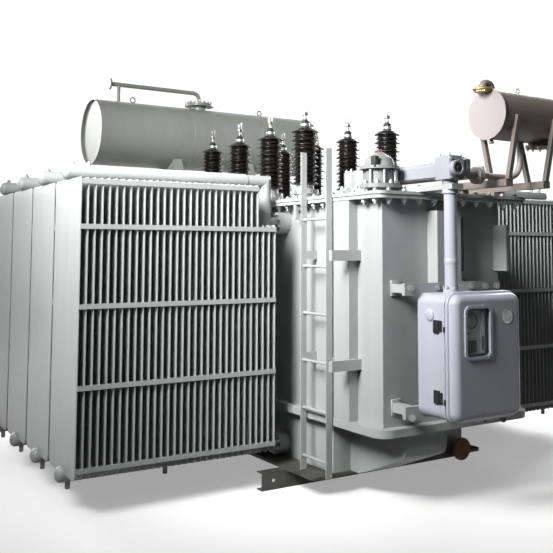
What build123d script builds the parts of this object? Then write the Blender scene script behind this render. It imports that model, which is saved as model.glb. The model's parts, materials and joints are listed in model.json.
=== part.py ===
"""Oil-filled power transformer: bell tank, radiator banks, conservators, bushings, tap-changer drive.

Frame: X across the tank, Y along it with the tap-changer end at -Y, Z up, origin on the ground
under the middle of the tank. Millimetres.
"""

from build123d import *
import os

# Base
beam_height = 120.0
beam_flange_width = 70.0
beam_wall = 8.0
beam_end_reach = 350.0
front_beam_setback = 865.0
rear_beam_setback = 365.0
haul_hole_diameter = 26.0
haul_hole_inset = 90.0
base_plate_thickness = 20.0
base_plate_side_margin = 176.0
base_plate_end_margin = 18.0
base_plate_corner = 40.0

# Lower tank with its raised nose under the tap changer
tray_front_setback = 538.0
tray_rear_setback = 38.0
tray_height = 333.0
nose_side_setback = 140.0
nose_reach = 40.0
nose_flat_length = 95.0
nose_tip_drop = 120.0

# Bell tank
tank_width = 1140.0
tank_length = 3500.0
tank_wall_height = 1398.0
tank_corner_cut = 148.0
flange_overhang = 75.0
flange_thickness = 24.0
flange_corner_radius = 110.0
cover_thickness = 20.0
cover_overhang = 82.0
cover_corner_radius = 60.0

# Stiffeners, lugs and brackets on the tank walls
stiffener_width = 200.0
stiffener_depth = 70.0
first_stiffener_setback = 357.0
last_stiffener_setback = 152.0
end_stiffener_x = -105.0
end_stiffener_depth = 96.0
end_stiffener_drop = 70.0
end_stiffener_length = 490.0
end_bar_x = 80.0
end_bar_width = 18.0
end_bar_depth = 40.0
end_bar_drop = 106.0
end_bar_length = 354.0
jacking_lug_inset = 182.0
jacking_lug_width = 26.0
jacking_lug_depth = 125.0
jacking_lug_drop = 153.0
jacking_lug_height = 305.0
front_lug_setback = 30.0
rear_lug_setback = 348.0
lifting_lug_length = 70.0
lifting_lug_height = 105.0
lifting_lug_thickness = 30.0
lifting_lug_hole = 34.0
side_bracket_reach = 225.0
side_bracket_depth = 37.0
side_bracket_height = 66.0

# Radiators
radiator_count = 4
radiator_gap = 31.0
radiator_middle_y = 251.5
radiator_standoff = 240.0
panel_count = 31
short_panel_count = 3
panel_pitch = 45.0
panel_thickness = 10.0
panel_width = 535.0
panel_base_gap = 55.0
panel_cut = 90.0
short_panel_drop = 270.0
header_size = 100.0
header_end_reach = 40.0
upper_header_rise = 127.0
lower_header_rise = 92.0
tie_bar_height = 30.0
tie_bar_thickness = 6.0
low_tie_bar_rows = 4
first_tie_bar_rise = 120.0
low_tie_bar_drop = 14.0
top_tie_bar_drop = 10.0
neck_pipe_diameter = 90.0
neck_drop = 124.0
neck_clearance = 15.0
valve_flange_diameter = 160.0
valve_flange_thickness = 18.0
valve_length = 70.0

# Bushings
bushing_count = 4
high_row_inset = 250.0
high_row_front_setback = 1285.0
high_row_rear_setback = 610.0
high_shed_radius = 107.0
low_row_inset = 265.0
low_row_front_setback = 1060.0
low_shed_radius = 102.0
shed_count = 7
shed_pitch = 58.0
shed_slope = 26.0
shed_step = 14.0
shed_undercut = 6.0
shed_core_radius = 62.0
turret_diameter = 250.0
turret_neck_diameter = 180.0
turret_height = 62.0
bushing_clamp_height = 70.0
clamp_margin = 8.0
cap_radius = 58.0
cap_height = 46.0
terminal_radius = 14.0
terminal_height = 150.0

# Main conservator and its pipe with the gas relay
conservator_diameter = 630.0
conservator_length = 2410.0
conservator_rear_reach = 223.0
conservator_rise = 772.0
conservator_wall = 6.0
conservator_lip = 25.0
conservator_end_thickness = 8.0
saddle_inset = 170.0
saddle_width = 90.0
saddle_share = 0.6
saddle_drop = 150.0
post_setback = 110.0
manhole_x = -76.0
manhole_diameter = 210.0
manhole_neck_diameter = 160.0
manhole_height = 40.0
manhole_lid_thickness = 22.0
vent_flange_inset = 175.0
vent_flange_diameter = 110.0
vent_flange_thickness = 16.0
vent_pipe_diameter = 42.0
vent_pipe_rise = 172.0
vent_bend_radius = 70.0
vent_post_inset = 267.0
vent_post_diameter = 34.0
conservator_pipe_x = 150.0
conservator_pipe_setback = 250.0
conservator_pipe_diameter = 80.0
relay_length = 200.0
relay_diameter = 130.0

# Tap-changer conservator on its cantilever beams, and its pipe
small_diameter = 315.0
small_length = 760.0
small_left_reach = 98.0
small_front_reach = 315.0
small_rise = 493.0
small_end_thickness = 8.0
small_end_margin = 6.0
small_beam_head_gap = 85.0
small_beam_inset = 100.0
small_beam_height = 46.0
small_beam_width = 60.0
small_beam_front_reach = 400.0
small_beam_rear_setback = 500.0
small_beam_pad = 36.0
pad_length = 80.0
pad_margin = 20.0
pad_inset = 60.0
leg_size = 30.0
leg_foot_spread = 150.0
leg_top_spread = 330.0
leg_top_drop = 16.0
small_pipe_diameter = 60.0
small_pipe_head_offset = 110.0
small_pipe_rise = 124.0
small_pipe_inlet = 286.0
small_pipe_flange_diameter = 110.0
small_pipe_flange_thickness = 34.0
small_pipe_flange_offset = 70.0

# Pressure relief device
relief_gap = 5.0
relief_setback = 150.0
relief_neck_diameter = 160.0
relief_neck_height = 30.0
relief_flange_diameter = 258.0
relief_flange_thickness = 26.0
relief_body_diameter = 200.0
relief_body_height = 94.0
relief_brim_thickness = 20.0
relief_dome_height = 90.0
relief_dome_share = 0.6
relief_tip_diameter = 50.0

# Tap changer, its drive shafts and gearbox
head_inset = 325.0
head_setback = 520.0
head_diameter = 480.0
head_flange_thickness = 50.0
head_body_diameter = 404.0
head_body_height = 115.0
head_port_reach = 250.0
head_port_width = 130.0
gearbox_inset = 277.0
gearbox_rise = 59.0
gearbox_size = 136.0
gearbox_corner = 18.0
gearbox_foot_diameter = 98.0
gearbox_boss_diameter = 94.0
gearbox_boss_length = 26.0
gearbox_boss_shift = 20.0
guard_width = 90.0
guard_height = 92.0
guard_chamfer = 26.0
arm_width = 90.0
arm_height = 34.0
arm_rear_setback = 250.0
drive_tube_diameter = 78.0
drive_collar_diameter = 98.0
drive_collar_height = 24.0

# Motor-drive cabinet
cabinet_left_inset = 108.0
cabinet_width = 540.0
cabinet_standoff = 203.0
cabinet_body_depth = 246.0
cabinet_rise = 97.0
cabinet_height = 724.0
cabinet_wall = 8.0
cabinet_corner_radius = 60.0
door_gap = 5.0
door_depth = 74.0
door_edge_radius = 44.0
door_wall = 8.0
window_inset = 86.0
window_rise = 368.0
window_width = 182.0
window_height = 275.0
window_corner_radius = 24.0
window_frame_width = 16.0
window_frame_height = 10.0
window_glass_thickness = 6.0
low_hinge_rise = 130.0
high_hinge_drop = 183.0
hinge_barrel_diameter = 16.0
hinge_pin_diameter = 8.0
hinge_pin_reach = 14.0
hinge_play = 0.3
hinge_height = 64.0
hinge_leaf_thickness = 8.0
hinge_leaf_depth = 46.0
crossbar_height = 72.0
crossbar_depth = 28.0
crossbar_drop = 14.0
crossbar_left_reach = 100.0
crossbar_right_reach = 149.0
stub_height = 52.0
stub_width = 60.0
stub_inset = 86.0
instrument_plate_setback = 119.0
instrument_plate_thickness = 5.0
instrument_plate_margin = 38.0
instrument_rail_height = 20.0

# Ladder on the left wall
ladder_clearance = 4.0
ladder_setback = 735.0
ladder_rail_gap = 306.0
ladder_top_rise = 305.0
rail_width = 45.0
rail_thickness = 8.0
rung_diameter = 20.0
rung_first_rise = 95.0
rung_pitch = 314.0
rung_count = 6
low_stay_rise = 359.0
high_stay_drop = 354.0
ladder_stay_height = 58.0

# Drain valve
drain_inset = 65.0
drain_rise = 32.0
drain_pipe_diameter = 60.0
drain_flange_diameter = 136.0
drain_flange_thickness = 22.0
drain_reach = 74.0

# Levels
plate_z = beam_height
tray_z = plate_z + base_plate_thickness
tray_flange_z = tray_z + tray_height
bell_flange_z = tray_flange_z + flange_thickness
wall_z = bell_flange_z + flange_thickness
wall_top_z = wall_z + tank_wall_height
cover_z = wall_top_z + flange_thickness
cover_top_z = cover_z + cover_thickness

# Places that follow the tank walls
half_width = tank_width / 2
front_wall_y = -tank_length / 2
rear_wall_y = tank_length / 2
beam_length = tank_width + 2 * beam_end_reach
beam_front_y = front_wall_y + front_beam_setback
beam_rear_y = rear_wall_y - rear_beam_setback
tray_front_y = front_wall_y + tray_front_setback
tray_rear_y = rear_wall_y - tray_rear_setback
nose_half_width = half_width - nose_side_setback
nose_front_y = front_wall_y - nose_reach

# Radiator places
radiator_pitch = panel_width + radiator_gap
radiator_run = radiator_count * radiator_pitch - radiator_gap
radiator_front_y = radiator_middle_y - radiator_run / 2
last_panel_x = half_width + radiator_standoff
panel_outer_x = last_panel_x + panel_pitch * (panel_count - 1) + panel_thickness
panel_bottom_z = tray_z + panel_base_gap
upper_header_z = cover_top_z + upper_header_rise
lower_header_z = tray_z + lower_header_rise
panel_top_z = upper_header_z - header_size / 2
short_panel_top_z = panel_top_z - short_panel_drop
neck_drop_z = wall_top_z - neck_drop

# Stiffener places: the first and last near the tank ends, the others between radiators
first_stiffener_y = front_wall_y + first_stiffener_setback
last_stiffener_y = rear_wall_y - last_stiffener_setback
second_stiffener_y = radiator_front_y + radiator_pitch - radiator_gap / 2
third_stiffener_y = second_stiffener_y + radiator_pitch
stiffener_ys = (first_stiffener_y, second_stiffener_y, third_stiffener_y, last_stiffener_y)
lug_ys = (radiator_front_y + front_lug_setback, last_stiffener_y - rear_lug_setback)

# Bushing places
high_row_x = -half_width + high_row_inset
high_row_y = front_wall_y + high_row_front_setback
high_row_length = tank_length - high_row_front_setback - high_row_rear_setback
bushing_pitch = high_row_length / (bushing_count - 1)
low_row_x = half_width - low_row_inset
low_row_y = front_wall_y + low_row_front_setback

# Conservator places
shell_radius = conservator_diameter / 2
conservator_y = rear_wall_y + conservator_rear_reach
conservator_z = cover_top_z + conservator_rise
shell_top_z = conservator_z + shell_radius
saddle_x = half_width - saddle_inset
post_y = rear_wall_y - post_setback
vent_pipe_z = shell_top_z + vent_pipe_rise
vent_flange_x = -conservator_length / 2 + vent_flange_inset
vent_post_x = -conservator_length / 2 + vent_post_inset
conservator_pipe_y = rear_wall_y - conservator_pipe_setback
conservator_pipe_z = (cover_top_z + conservator_z - shell_radius) / 2
small_radius = small_diameter / 2
small_y = front_wall_y - small_front_reach
small_z = cover_top_z + small_rise
small_beam_front_y = front_wall_y - small_beam_front_reach
small_beam_rear_y = front_wall_y + small_beam_rear_setback
small_beam_z = cover_top_z + small_beam_pad

# Tap-changer and drive places
head_x = -half_width + head_inset
head_y = front_wall_y + head_setback
head_body_z = cover_top_z + head_flange_thickness
first_beam_x = head_x + head_diameter / 2 + small_beam_head_gap + pad_margin + small_beam_width / 2
small_beam_xs = (first_beam_x, half_width - small_beam_inset)
small_left_x = first_beam_x - small_left_reach
relief_y = front_wall_y + relief_setback
gearbox_x = -half_width + gearbox_inset
relief_x = gearbox_x - max(guard_width, arm_width) / 2 - relief_gap - relief_flange_diameter / 2
gearbox_y = small_y
gearbox_z = cover_top_z + gearbox_rise
gearbox_middle_z = gearbox_z + gearbox_size / 2
arm_front_y = gearbox_y - gearbox_size / 2
arm_rear_y = front_wall_y + arm_rear_setback
guard_front_y = gearbox_y + gearbox_size / 2
guard_rear_y = head_y - head_port_reach
small_pipe_x = head_x + small_pipe_head_offset
small_pipe_z = cover_top_z + small_pipe_rise
small_inlet_x = small_left_x + small_pipe_inlet

# Cabinet places
cabinet_left_x = -half_width + cabinet_left_inset
cabinet_right_x = cabinet_left_x + cabinet_width
cabinet_middle_x = cabinet_left_x + cabinet_width / 2
cabinet_rear_y = front_wall_y - cabinet_standoff
cabinet_front_y = cabinet_rear_y - cabinet_body_depth
cabinet_bottom_z = wall_z + cabinet_rise
cabinet_top_z = cabinet_bottom_z + cabinet_height
cabinet_middle_z = cabinet_bottom_z + cabinet_height / 2
door_rear_y = cabinet_front_y - door_gap
door_front_y = door_rear_y - door_depth
window_x = cabinet_left_x + window_inset + window_width / 2
window_z = cabinet_bottom_z + window_rise + window_height / 2
hinge_zs = (cabinet_bottom_z + low_hinge_rise, cabinet_top_z - high_hinge_drop)
hinge_x = cabinet_left_x - hinge_pin_reach
hinge_y = cabinet_front_y - door_gap / 2
instrument_plate_y = cabinet_front_y + instrument_plate_setback

# Ladder and drain places
ladder_x = -half_width - cover_overhang - ladder_clearance - rail_width / 2
ladder_left_y = front_wall_y + ladder_setback
ladder_right_y = ladder_left_y - ladder_rail_gap
ladder_top_z = cover_top_z + ladder_top_rise
rung_first_z = tray_z + rung_first_rise
stay_zs = (wall_z + low_stay_rise, wall_top_z - high_stay_drop)
drain_x = half_width - drain_inset
drain_z = tray_z + drain_rise

os.makedirs("parts", exist_ok=True)


def save(builder, node):
    """Label a finished piece and write it to its own file."""
    builder.part.label = node
    export_step(builder.part, "parts/" + node + ".step")


# Base beams: channels with their backs outward, a hauling hole near each end
def base_beam(back_y, inward):
    """A channel along X whose back stands at back_y and whose flanges point inward."""
    with BuildPart() as beam:
        with BuildSketch(Plane.YZ.offset(-beam_length / 2)):
            with Locations((back_y + inward * beam_flange_width / 2, beam_height / 2)):
                Rectangle(beam_flange_width, beam_height)
            with Locations((back_y + inward * (beam_wall + beam_flange_width / 2), beam_height / 2)):
                Rectangle(beam_flange_width, beam_height - 2 * beam_wall, mode=Mode.SUBTRACT)
        extrude(amount=beam_length)
        hole_x = beam_length / 2 - haul_hole_inset
        with Locations((-hole_x, back_y, beam_height / 2), (hole_x, back_y, beam_height / 2)):
            Cylinder(haul_hole_diameter / 2, 4 * beam_wall, rotation=(90, 0, 0), mode=Mode.SUBTRACT)
    return beam


front_base_beam = base_beam(beam_front_y, 1)
save(front_base_beam, "front_base_beam")
rear_base_beam = base_beam(beam_rear_y, -1)
save(rear_base_beam, "rear_base_beam")

# Base plate under the lower tank
plate_front_y = tray_front_y - base_plate_end_margin
plate_rear_y = tray_rear_y + base_plate_end_margin
with BuildPart() as base_plate:
    with BuildSketch(Plane.XY.offset(plate_z)):
        with Locations((0, (plate_front_y + plate_rear_y) / 2)):
            RectangleRounded(
                tank_width + 2 * base_plate_side_margin, plate_rear_y - plate_front_y, base_plate_corner
            )
    extrude(amount=base_plate_thickness)
save(base_plate, "base_plate")

# Lower tank: a tray whose nose slopes up to the flange at the tap-changer end
with BuildPart() as lower_tank:
    with BuildSketch(Plane.XY.offset(tray_z)):
        with Locations((0, (tray_front_y + tray_rear_y) / 2)):
            Rectangle(tank_width, tray_rear_y - tray_front_y)
    extrude(amount=tray_height)
    with BuildSketch(Plane.YZ.offset(-nose_half_width)):
        with BuildLine():
            Polyline(
                (tray_front_y, tray_z),
                (tray_front_y - nose_flat_length, tray_z),
                (nose_front_y, tray_flange_z - nose_tip_drop),
                (nose_front_y, tray_flange_z),
                (tray_front_y, tray_flange_z),
                close=True,
            )
        make_face()
    extrude(amount=2 * nose_half_width)
    with BuildSketch(Plane.XY.offset(tray_flange_z)):
        RectangleRounded(
            tank_width + 2 * flange_overhang, tank_length + 2 * flange_overhang, flange_corner_radius
        )
    extrude(amount=flange_thickness)
save(lower_tank, "lower_tank")

# Bell tank with its bottom and top flanges; the right corner at the tap-changer end is cut off
with BuildPart() as tank_shell:
    with BuildSketch(Plane.XY.offset(bell_flange_z)):
        RectangleRounded(
            tank_width + 2 * flange_overhang, tank_length + 2 * flange_overhang, flange_corner_radius
        )
    extrude(amount=flange_thickness)
    with BuildSketch(Plane.XY.offset(wall_z)) as wall_outline:
        Rectangle(tank_width, tank_length)
        cut_corner = wall_outline.vertices().sort_by(Axis.Y)[:2].sort_by(Axis.X)[-1]
        chamfer(cut_corner, tank_corner_cut)
    extrude(amount=tank_wall_height)
    with BuildSketch(Plane.XY.offset(wall_top_z)):
        RectangleRounded(
            tank_width + 2 * flange_overhang, tank_length + 2 * flange_overhang, cover_corner_radius
        )
    extrude(amount=flange_thickness)
save(tank_shell, "tank_shell")

# Box stiffeners down the two long walls
for side, sign in (("left", -1), ("right", 1)):
    with BuildPart() as wall_stiffeners:
        with BuildSketch(Plane.XY.offset(wall_z)):
            for y in stiffener_ys:
                with Locations((sign * (half_width + stiffener_depth / 2), y)):
                    Rectangle(stiffener_depth, stiffener_width)
        extrude(amount=tank_wall_height)
    save(wall_stiffeners, side + "_stiffeners")

# Stiffener, short bar and jacking lug on the wall at the tap-changer end
with BuildPart() as end_stiffeners:
    pieces = (
        (end_stiffener_x, stiffener_width, end_stiffener_depth, end_stiffener_drop, end_stiffener_length),
        (end_bar_x, end_bar_width, end_bar_depth, end_bar_drop, end_bar_length),
        (
            half_width - jacking_lug_inset,
            jacking_lug_width,
            jacking_lug_depth,
            jacking_lug_drop,
            jacking_lug_height,
        ),
    )
    for x, width, depth, drop, length in pieces:
        with Locations((x, front_wall_y - depth / 2, wall_top_z - drop - length / 2)):
            Box(width, depth, length)
save(end_stiffeners, "end_stiffeners")

# Lifting lugs under the top flange
with BuildPart() as lifting_lugs:
    lug_z = wall_top_z - lifting_lug_height / 2
    for sign in (-1, 1):
        lug_x = sign * (half_width + lifting_lug_length / 2)
        for y in lug_ys:
            with Locations((lug_x, y, lug_z)):
                Box(lifting_lug_length, lifting_lug_thickness, lifting_lug_height)
                Cylinder(
                    lifting_lug_hole / 2, lifting_lug_thickness, rotation=(90, 0, 0), mode=Mode.SUBTRACT
                )
save(lifting_lugs, "lifting_lugs")

# Brackets that stand out of the left wall against the first stiffener
with BuildPart() as side_brackets:
    stiffener_front_y = first_stiffener_y - stiffener_width / 2
    for z in stay_zs:
        with Locations(
            (-half_width - side_bracket_reach / 2, stiffener_front_y - side_bracket_depth / 2, z)
        ):
            Box(side_bracket_reach, side_bracket_depth, side_bracket_height)
save(side_brackets, "side_brackets")

# Cover plate
with BuildPart() as tank_cover:
    with BuildSketch(Plane.XY.offset(cover_z)):
        RectangleRounded(
            tank_width + 2 * cover_overhang, tank_length + 2 * cover_overhang, cover_corner_radius
        )
    extrude(amount=cover_thickness)
save(tank_cover, "tank_cover")

# Radiators: panels hung between an upper and a lower header
with BuildPart() as radiator:
    panel_middle_y = radiator_front_y + panel_width / 2
    for index in range(panel_count):
        is_short = index >= panel_count - short_panel_count
        top_z = short_panel_top_z if is_short else panel_top_z
        with BuildSketch(Plane.YZ.offset(-panel_outer_x + index * panel_pitch)):
            with BuildLine():
                Polyline(
                    (radiator_front_y, panel_bottom_z + panel_cut),
                    (radiator_front_y + panel_cut, panel_bottom_z),
                    (radiator_front_y + panel_width - panel_cut, panel_bottom_z),
                    (radiator_front_y + panel_width, panel_bottom_z + panel_cut),
                    (radiator_front_y + panel_width, top_z),
                    (radiator_front_y, top_z),
                    close=True,
                )
            make_face()
        extrude(amount=panel_thickness)
    header_start = Plane.YZ.offset(-panel_outer_x - header_end_reach)
    tall_length = header_end_reach + (panel_count - short_panel_count) * panel_pitch
    with BuildSketch(header_start):
        with Locations((panel_middle_y, upper_header_z)):
            RegularPolygon(header_size / 2, 8, major_radius=False, rotation=22.5)
    extrude(amount=tall_length)
    with BuildSketch(header_start):
        with Locations((panel_middle_y, lower_header_z)):
            RegularPolygon(header_size / 2, 8, major_radius=False, rotation=22.5)
    extrude(amount=header_end_reach + panel_outer_x - last_panel_x)

for index in range(radiator_count):
    with BuildPart() as left_radiator:
        with Locations((0, index * radiator_pitch, 0)):
            add(radiator.part)
    save(left_radiator, "left_radiator_" + str(index + 1))
    with BuildPart() as right_radiator:
        add(mirror(left_radiator.part, about=Plane.YZ, mode=Mode.PRIVATE))
    save(right_radiator, "right_radiator_" + str(index + 1))

# Flat tie bars across the panel edges, front and back
first_bar_z = panel_bottom_z + first_tie_bar_rise
bar_rise = (short_panel_top_z - low_tie_bar_drop - first_bar_z) / (low_tie_bar_rows - 1)
bar_tops = [first_bar_z + row * bar_rise for row in range(low_tie_bar_rows)]
bar_tops.append(panel_top_z - top_tie_bar_drop)
bar_length = panel_outer_x - last_panel_x
short_bar_length = bar_length - short_panel_count * panel_pitch
for side, sign in (("left", -1), ("right", 1)):
    with BuildPart() as tie_bars:
        for index in range(radiator_count):
            front_y = radiator_front_y + index * radiator_pitch
            for top_z in bar_tops:
                is_low = top_z < short_panel_top_z
                length = bar_length if is_low else short_bar_length
                bar_x = sign * (panel_outer_x - length / 2)
                bar_z = top_z - tie_bar_height / 2
                with Locations(
                    (bar_x, front_y - tie_bar_thickness / 2, bar_z),
                    (bar_x, front_y + panel_width + tie_bar_thickness / 2, bar_z),
                ):
                    Box(length, tie_bar_thickness, tie_bar_height)
    save(tie_bars, side + "_tie_bars")

# Necks: each upper header drops to a valve on the tank wall, each lower header runs straight in
for side, sign in (("left", -1), ("right", 1)):
    neck_x = sign * (panel_outer_x - tall_length + header_end_reach)
    turn_x = sign * (last_panel_x - neck_clearance - neck_pipe_diameter / 2)
    wall_x = sign * half_width
    with BuildPart() as upper_necks:
        for index in range(radiator_count):
            middle_y = radiator_front_y + panel_width / 2 + index * radiator_pitch
            with BuildLine():
                neck_path = Polyline(
                    (neck_x, middle_y, upper_header_z),
                    (turn_x, middle_y, upper_header_z),
                    (turn_x, middle_y, neck_drop_z),
                    (wall_x, middle_y, neck_drop_z),
                )
            with BuildSketch(Plane(origin=(neck_x, middle_y, upper_header_z), z_dir=(-sign, 0, 0))):
                Circle(neck_pipe_diameter / 2)
            sweep(path=neck_path, transition=Transition.RIGHT)
            with Locations(
                (wall_x + sign * (valve_length + valve_flange_thickness) / 2, middle_y, neck_drop_z)
            ):
                Cylinder(
                    valve_flange_diameter / 2, valve_length + valve_flange_thickness, rotation=(0, 90, 0)
                )
    save(upper_necks, side + "_upper_necks")
    pipe_length = last_panel_x - half_width
    with BuildPart() as lower_necks:
        for index in range(radiator_count):
            middle_y = radiator_front_y + panel_width / 2 + index * radiator_pitch
            with Locations((sign * (half_width + pipe_length / 2), middle_y, lower_header_z)):
                Cylinder(neck_pipe_diameter / 2, pipe_length, rotation=(0, 90, 0))
            with Locations(
                (wall_x + sign * (valve_length + valve_flange_thickness) / 2, middle_y, lower_header_z)
            ):
                Cylinder(
                    valve_flange_diameter / 2, valve_length + valve_flange_thickness, rotation=(0, 90, 0)
                )
    save(lower_necks, side + "_lower_necks")

# Bushings: turret and clamp on the cover, shedded porcelain, cap and terminal stud
porcelain_z = cover_top_z + turret_height + bushing_clamp_height
porcelain_height = shed_count * shed_pitch + shed_pitch / 2
rows = (
    ("high", high_row_x, high_row_y, high_shed_radius),
    ("low", low_row_x, low_row_y, low_shed_radius),
)
for row, row_x, row_y, shed_radius in rows:
    spots = [(row_x, row_y + index * bushing_pitch) for index in range(bushing_count)]
    with BuildPart() as turrets:
        with BuildSketch(Plane.XY.offset(cover_top_z)):
            with Locations(*spots):
                Circle(turret_diameter / 2)
        extrude(amount=turret_height / 3)
        with BuildSketch(Plane.XY.offset(cover_top_z + turret_height / 3)):
            with Locations(*spots):
                Circle(turret_neck_diameter / 2)
        extrude(amount=turret_height * 2 / 3)
        with BuildSketch(Plane.XY.offset(cover_top_z + turret_height)):
            with Locations(*spots):
                Circle(shed_radius)
        extrude(amount=bushing_clamp_height / 2)
        with BuildSketch(Plane.XY.offset(cover_top_z + turret_height + bushing_clamp_height / 2)):
            with Locations(*spots):
                Circle(shed_core_radius + clamp_margin)
        extrude(amount=bushing_clamp_height / 2)
    save(turrets, row + "_row_turrets")
    with BuildPart() as porcelain:
        for x, y in spots:
            with BuildSketch(Plane.XZ.offset(-y)):
                with BuildLine():
                    outline = [(x, porcelain_z), (x + shed_core_radius, porcelain_z)]
                    for shed in range(shed_count):
                        shed_z = porcelain_z + shed * shed_pitch + shed_pitch / 2
                        reach = shed_radius if shed % 2 == 0 else shed_radius - shed_step
                        outline.append((x + reach, shed_z))
                        outline.append((x + shed_core_radius - shed_undercut, shed_z + shed_slope))
                    outline.append((x, porcelain_z + porcelain_height))
                    Polyline(*outline, close=True)
                make_face()
            revolve(axis=Axis((x, y, 0), (0, 0, 1)))
    save(porcelain, row + "_row_porcelain")
    with BuildPart() as terminals:
        cap_z = porcelain_z + porcelain_height
        with BuildSketch(Plane.XY.offset(cap_z)):
            with Locations(*spots):
                Circle(cap_radius)
        extrude(amount=cap_height)
        with BuildSketch(Plane.XY.offset(cap_z + cap_height)):
            with Locations(*spots):
                Circle(terminal_radius)
        extrude(amount=terminal_height)
    save(terminals, row + "_row_terminals")

# Main conservator: shell with its two ends, saddles on posts behind the cover, manhole, vent pipe
with BuildPart() as conservator_shell:
    with BuildSketch(Plane.YZ.offset(-conservator_length / 2)):
        with Locations((conservator_y, conservator_z)):
            Circle(shell_radius)
            Circle(shell_radius - conservator_wall, mode=Mode.SUBTRACT)
    extrude(amount=conservator_length)
save(conservator_shell, "conservator_shell")

with BuildPart() as conservator_ends:
    for sign in (-1, 1):
        end_x = sign * (conservator_length / 2 - conservator_lip)
        with BuildSketch(Plane.YZ.offset(end_x - sign * conservator_end_thickness)):
            with Locations((conservator_y, conservator_z)):
                Circle(shell_radius - conservator_wall)
        extrude(amount=sign * conservator_end_thickness)
save(conservator_ends, "conservator_ends")

saddle_reach = shell_radius * saddle_share
post_top_z = conservator_z - shell_radius - saddle_drop
with BuildPart() as conservator_supports:
    for sign in (-1, 1):
        with BuildSketch(Plane.YZ.offset(sign * saddle_x - saddle_width / 2)):
            with BuildLine():
                Polyline(
                    (post_y, cover_top_z),
                    (post_y + saddle_width, cover_top_z),
                    (conservator_y + saddle_reach, post_top_z),
                    (conservator_y + saddle_reach, conservator_z - saddle_reach),
                    (conservator_y - saddle_reach, conservator_z - saddle_reach),
                    (post_y, post_top_z),
                    close=True,
                )
            make_face()
            with Locations((conservator_y, conservator_z)):
                Circle(shell_radius, mode=Mode.SUBTRACT)
        extrude(amount=saddle_width)
save(conservator_supports, "conservator_supports")

with BuildPart() as conservator_manhole:
    with BuildSketch(Plane.XY.offset(shell_top_z - manhole_height)):
        with Locations((manhole_x, conservator_y)):
            Circle(manhole_neck_diameter / 2)
    extrude(amount=2 * manhole_height)
    with BuildSketch(Plane.XY.offset(shell_top_z + manhole_height)):
        with Locations((manhole_x, conservator_y)):
            Circle(manhole_diameter / 2)
    extrude(amount=manhole_lid_thickness)
    with Locations((manhole_x, conservator_y, conservator_z)):
        Cylinder(shell_radius, manhole_diameter, rotation=(0, 90, 0), mode=Mode.SUBTRACT)
save(conservator_manhole, "conservator_manhole")

with BuildPart() as vent_pipe:
    with BuildLine():
        vent_path = FilletPolyline(
            (vent_flange_x, conservator_y, vent_pipe_z),
            (manhole_x, conservator_y, vent_pipe_z),
            (manhole_x, conservator_y, shell_top_z + manhole_height + manhole_lid_thickness),
            radius=vent_bend_radius,
        )
    with BuildSketch(Plane(origin=(vent_flange_x, conservator_y, vent_pipe_z), z_dir=(1, 0, 0))):
        Circle(vent_pipe_diameter / 2)
    sweep(path=vent_path)
    with Locations((vent_flange_x, conservator_y, vent_pipe_z)):
        Cylinder(vent_flange_diameter / 2, vent_flange_thickness, rotation=(0, 90, 0))
    post_height = vent_pipe_z - conservator_z
    with Locations((vent_post_x, conservator_y, conservator_z + post_height / 2)):
        Cylinder(vent_post_diameter / 2, post_height)
    with Locations((vent_post_x, conservator_y, conservator_z)):
        Cylinder(shell_radius, 2 * vent_pipe_diameter, rotation=(0, 90, 0), mode=Mode.SUBTRACT)
save(vent_pipe, "vent_pipe")

# Pipe from the cover to the conservator's underside with the gas relay in its level run
with BuildPart() as conservator_pipe:
    with BuildLine():
        rise_path = Polyline(
            (conservator_pipe_x, conservator_pipe_y, cover_top_z),
            (conservator_pipe_x, conservator_pipe_y, conservator_pipe_z),
            (conservator_pipe_x, conservator_y, conservator_pipe_z),
            (conservator_pipe_x, conservator_y, conservator_z),
        )
    with BuildSketch(Plane.XY.offset(cover_top_z)):
        with Locations((conservator_pipe_x, conservator_pipe_y)):
            Circle(conservator_pipe_diameter / 2)
    sweep(path=rise_path, transition=Transition.RIGHT)
    with Locations((conservator_pipe_x, (conservator_pipe_y + conservator_y) / 2, conservator_pipe_z)):
        Cylinder(relay_diameter / 2, relay_length, rotation=(90, 0, 0))
    with Locations((conservator_pipe_x, conservator_y, conservator_z)):
        Cylinder(shell_radius, 2 * conservator_pipe_diameter, rotation=(0, 90, 0), mode=Mode.SUBTRACT)
save(conservator_pipe, "conservator_pipe")

# Tap-changer conservator on two cantilever beams with V-shaped legs
with BuildPart() as small_conservator:
    with BuildSketch(Plane.YZ.offset(small_left_x)):
        with Locations((small_y, small_z)):
            Circle(small_radius)
    extrude(amount=small_length)
save(small_conservator, "small_conservator")

with BuildPart() as small_conservator_ends:
    for sign, end_x in ((-1, small_left_x), (1, small_left_x + small_length)):
        with BuildSketch(Plane.YZ.offset(end_x)):
            with Locations((small_y, small_z)):
                Circle(small_radius + small_end_margin)
        extrude(amount=sign * small_end_thickness)
save(small_conservator_ends, "small_conservator_ends")

with BuildPart() as small_support_beams:
    beam_run = small_beam_rear_y - small_beam_front_y
    for x in small_beam_xs:
        with Locations((x, small_beam_front_y + beam_run / 2, small_beam_z + small_beam_height / 2)):
            Box(small_beam_width, beam_run, small_beam_height)
        for y in (front_wall_y + pad_inset, small_beam_rear_y - pad_inset):
            with Locations((x, y, cover_top_z + small_beam_pad / 2)):
                Box(small_beam_width + 2 * pad_margin, pad_length, small_beam_pad)
save(small_support_beams, "small_support_beams")

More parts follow.
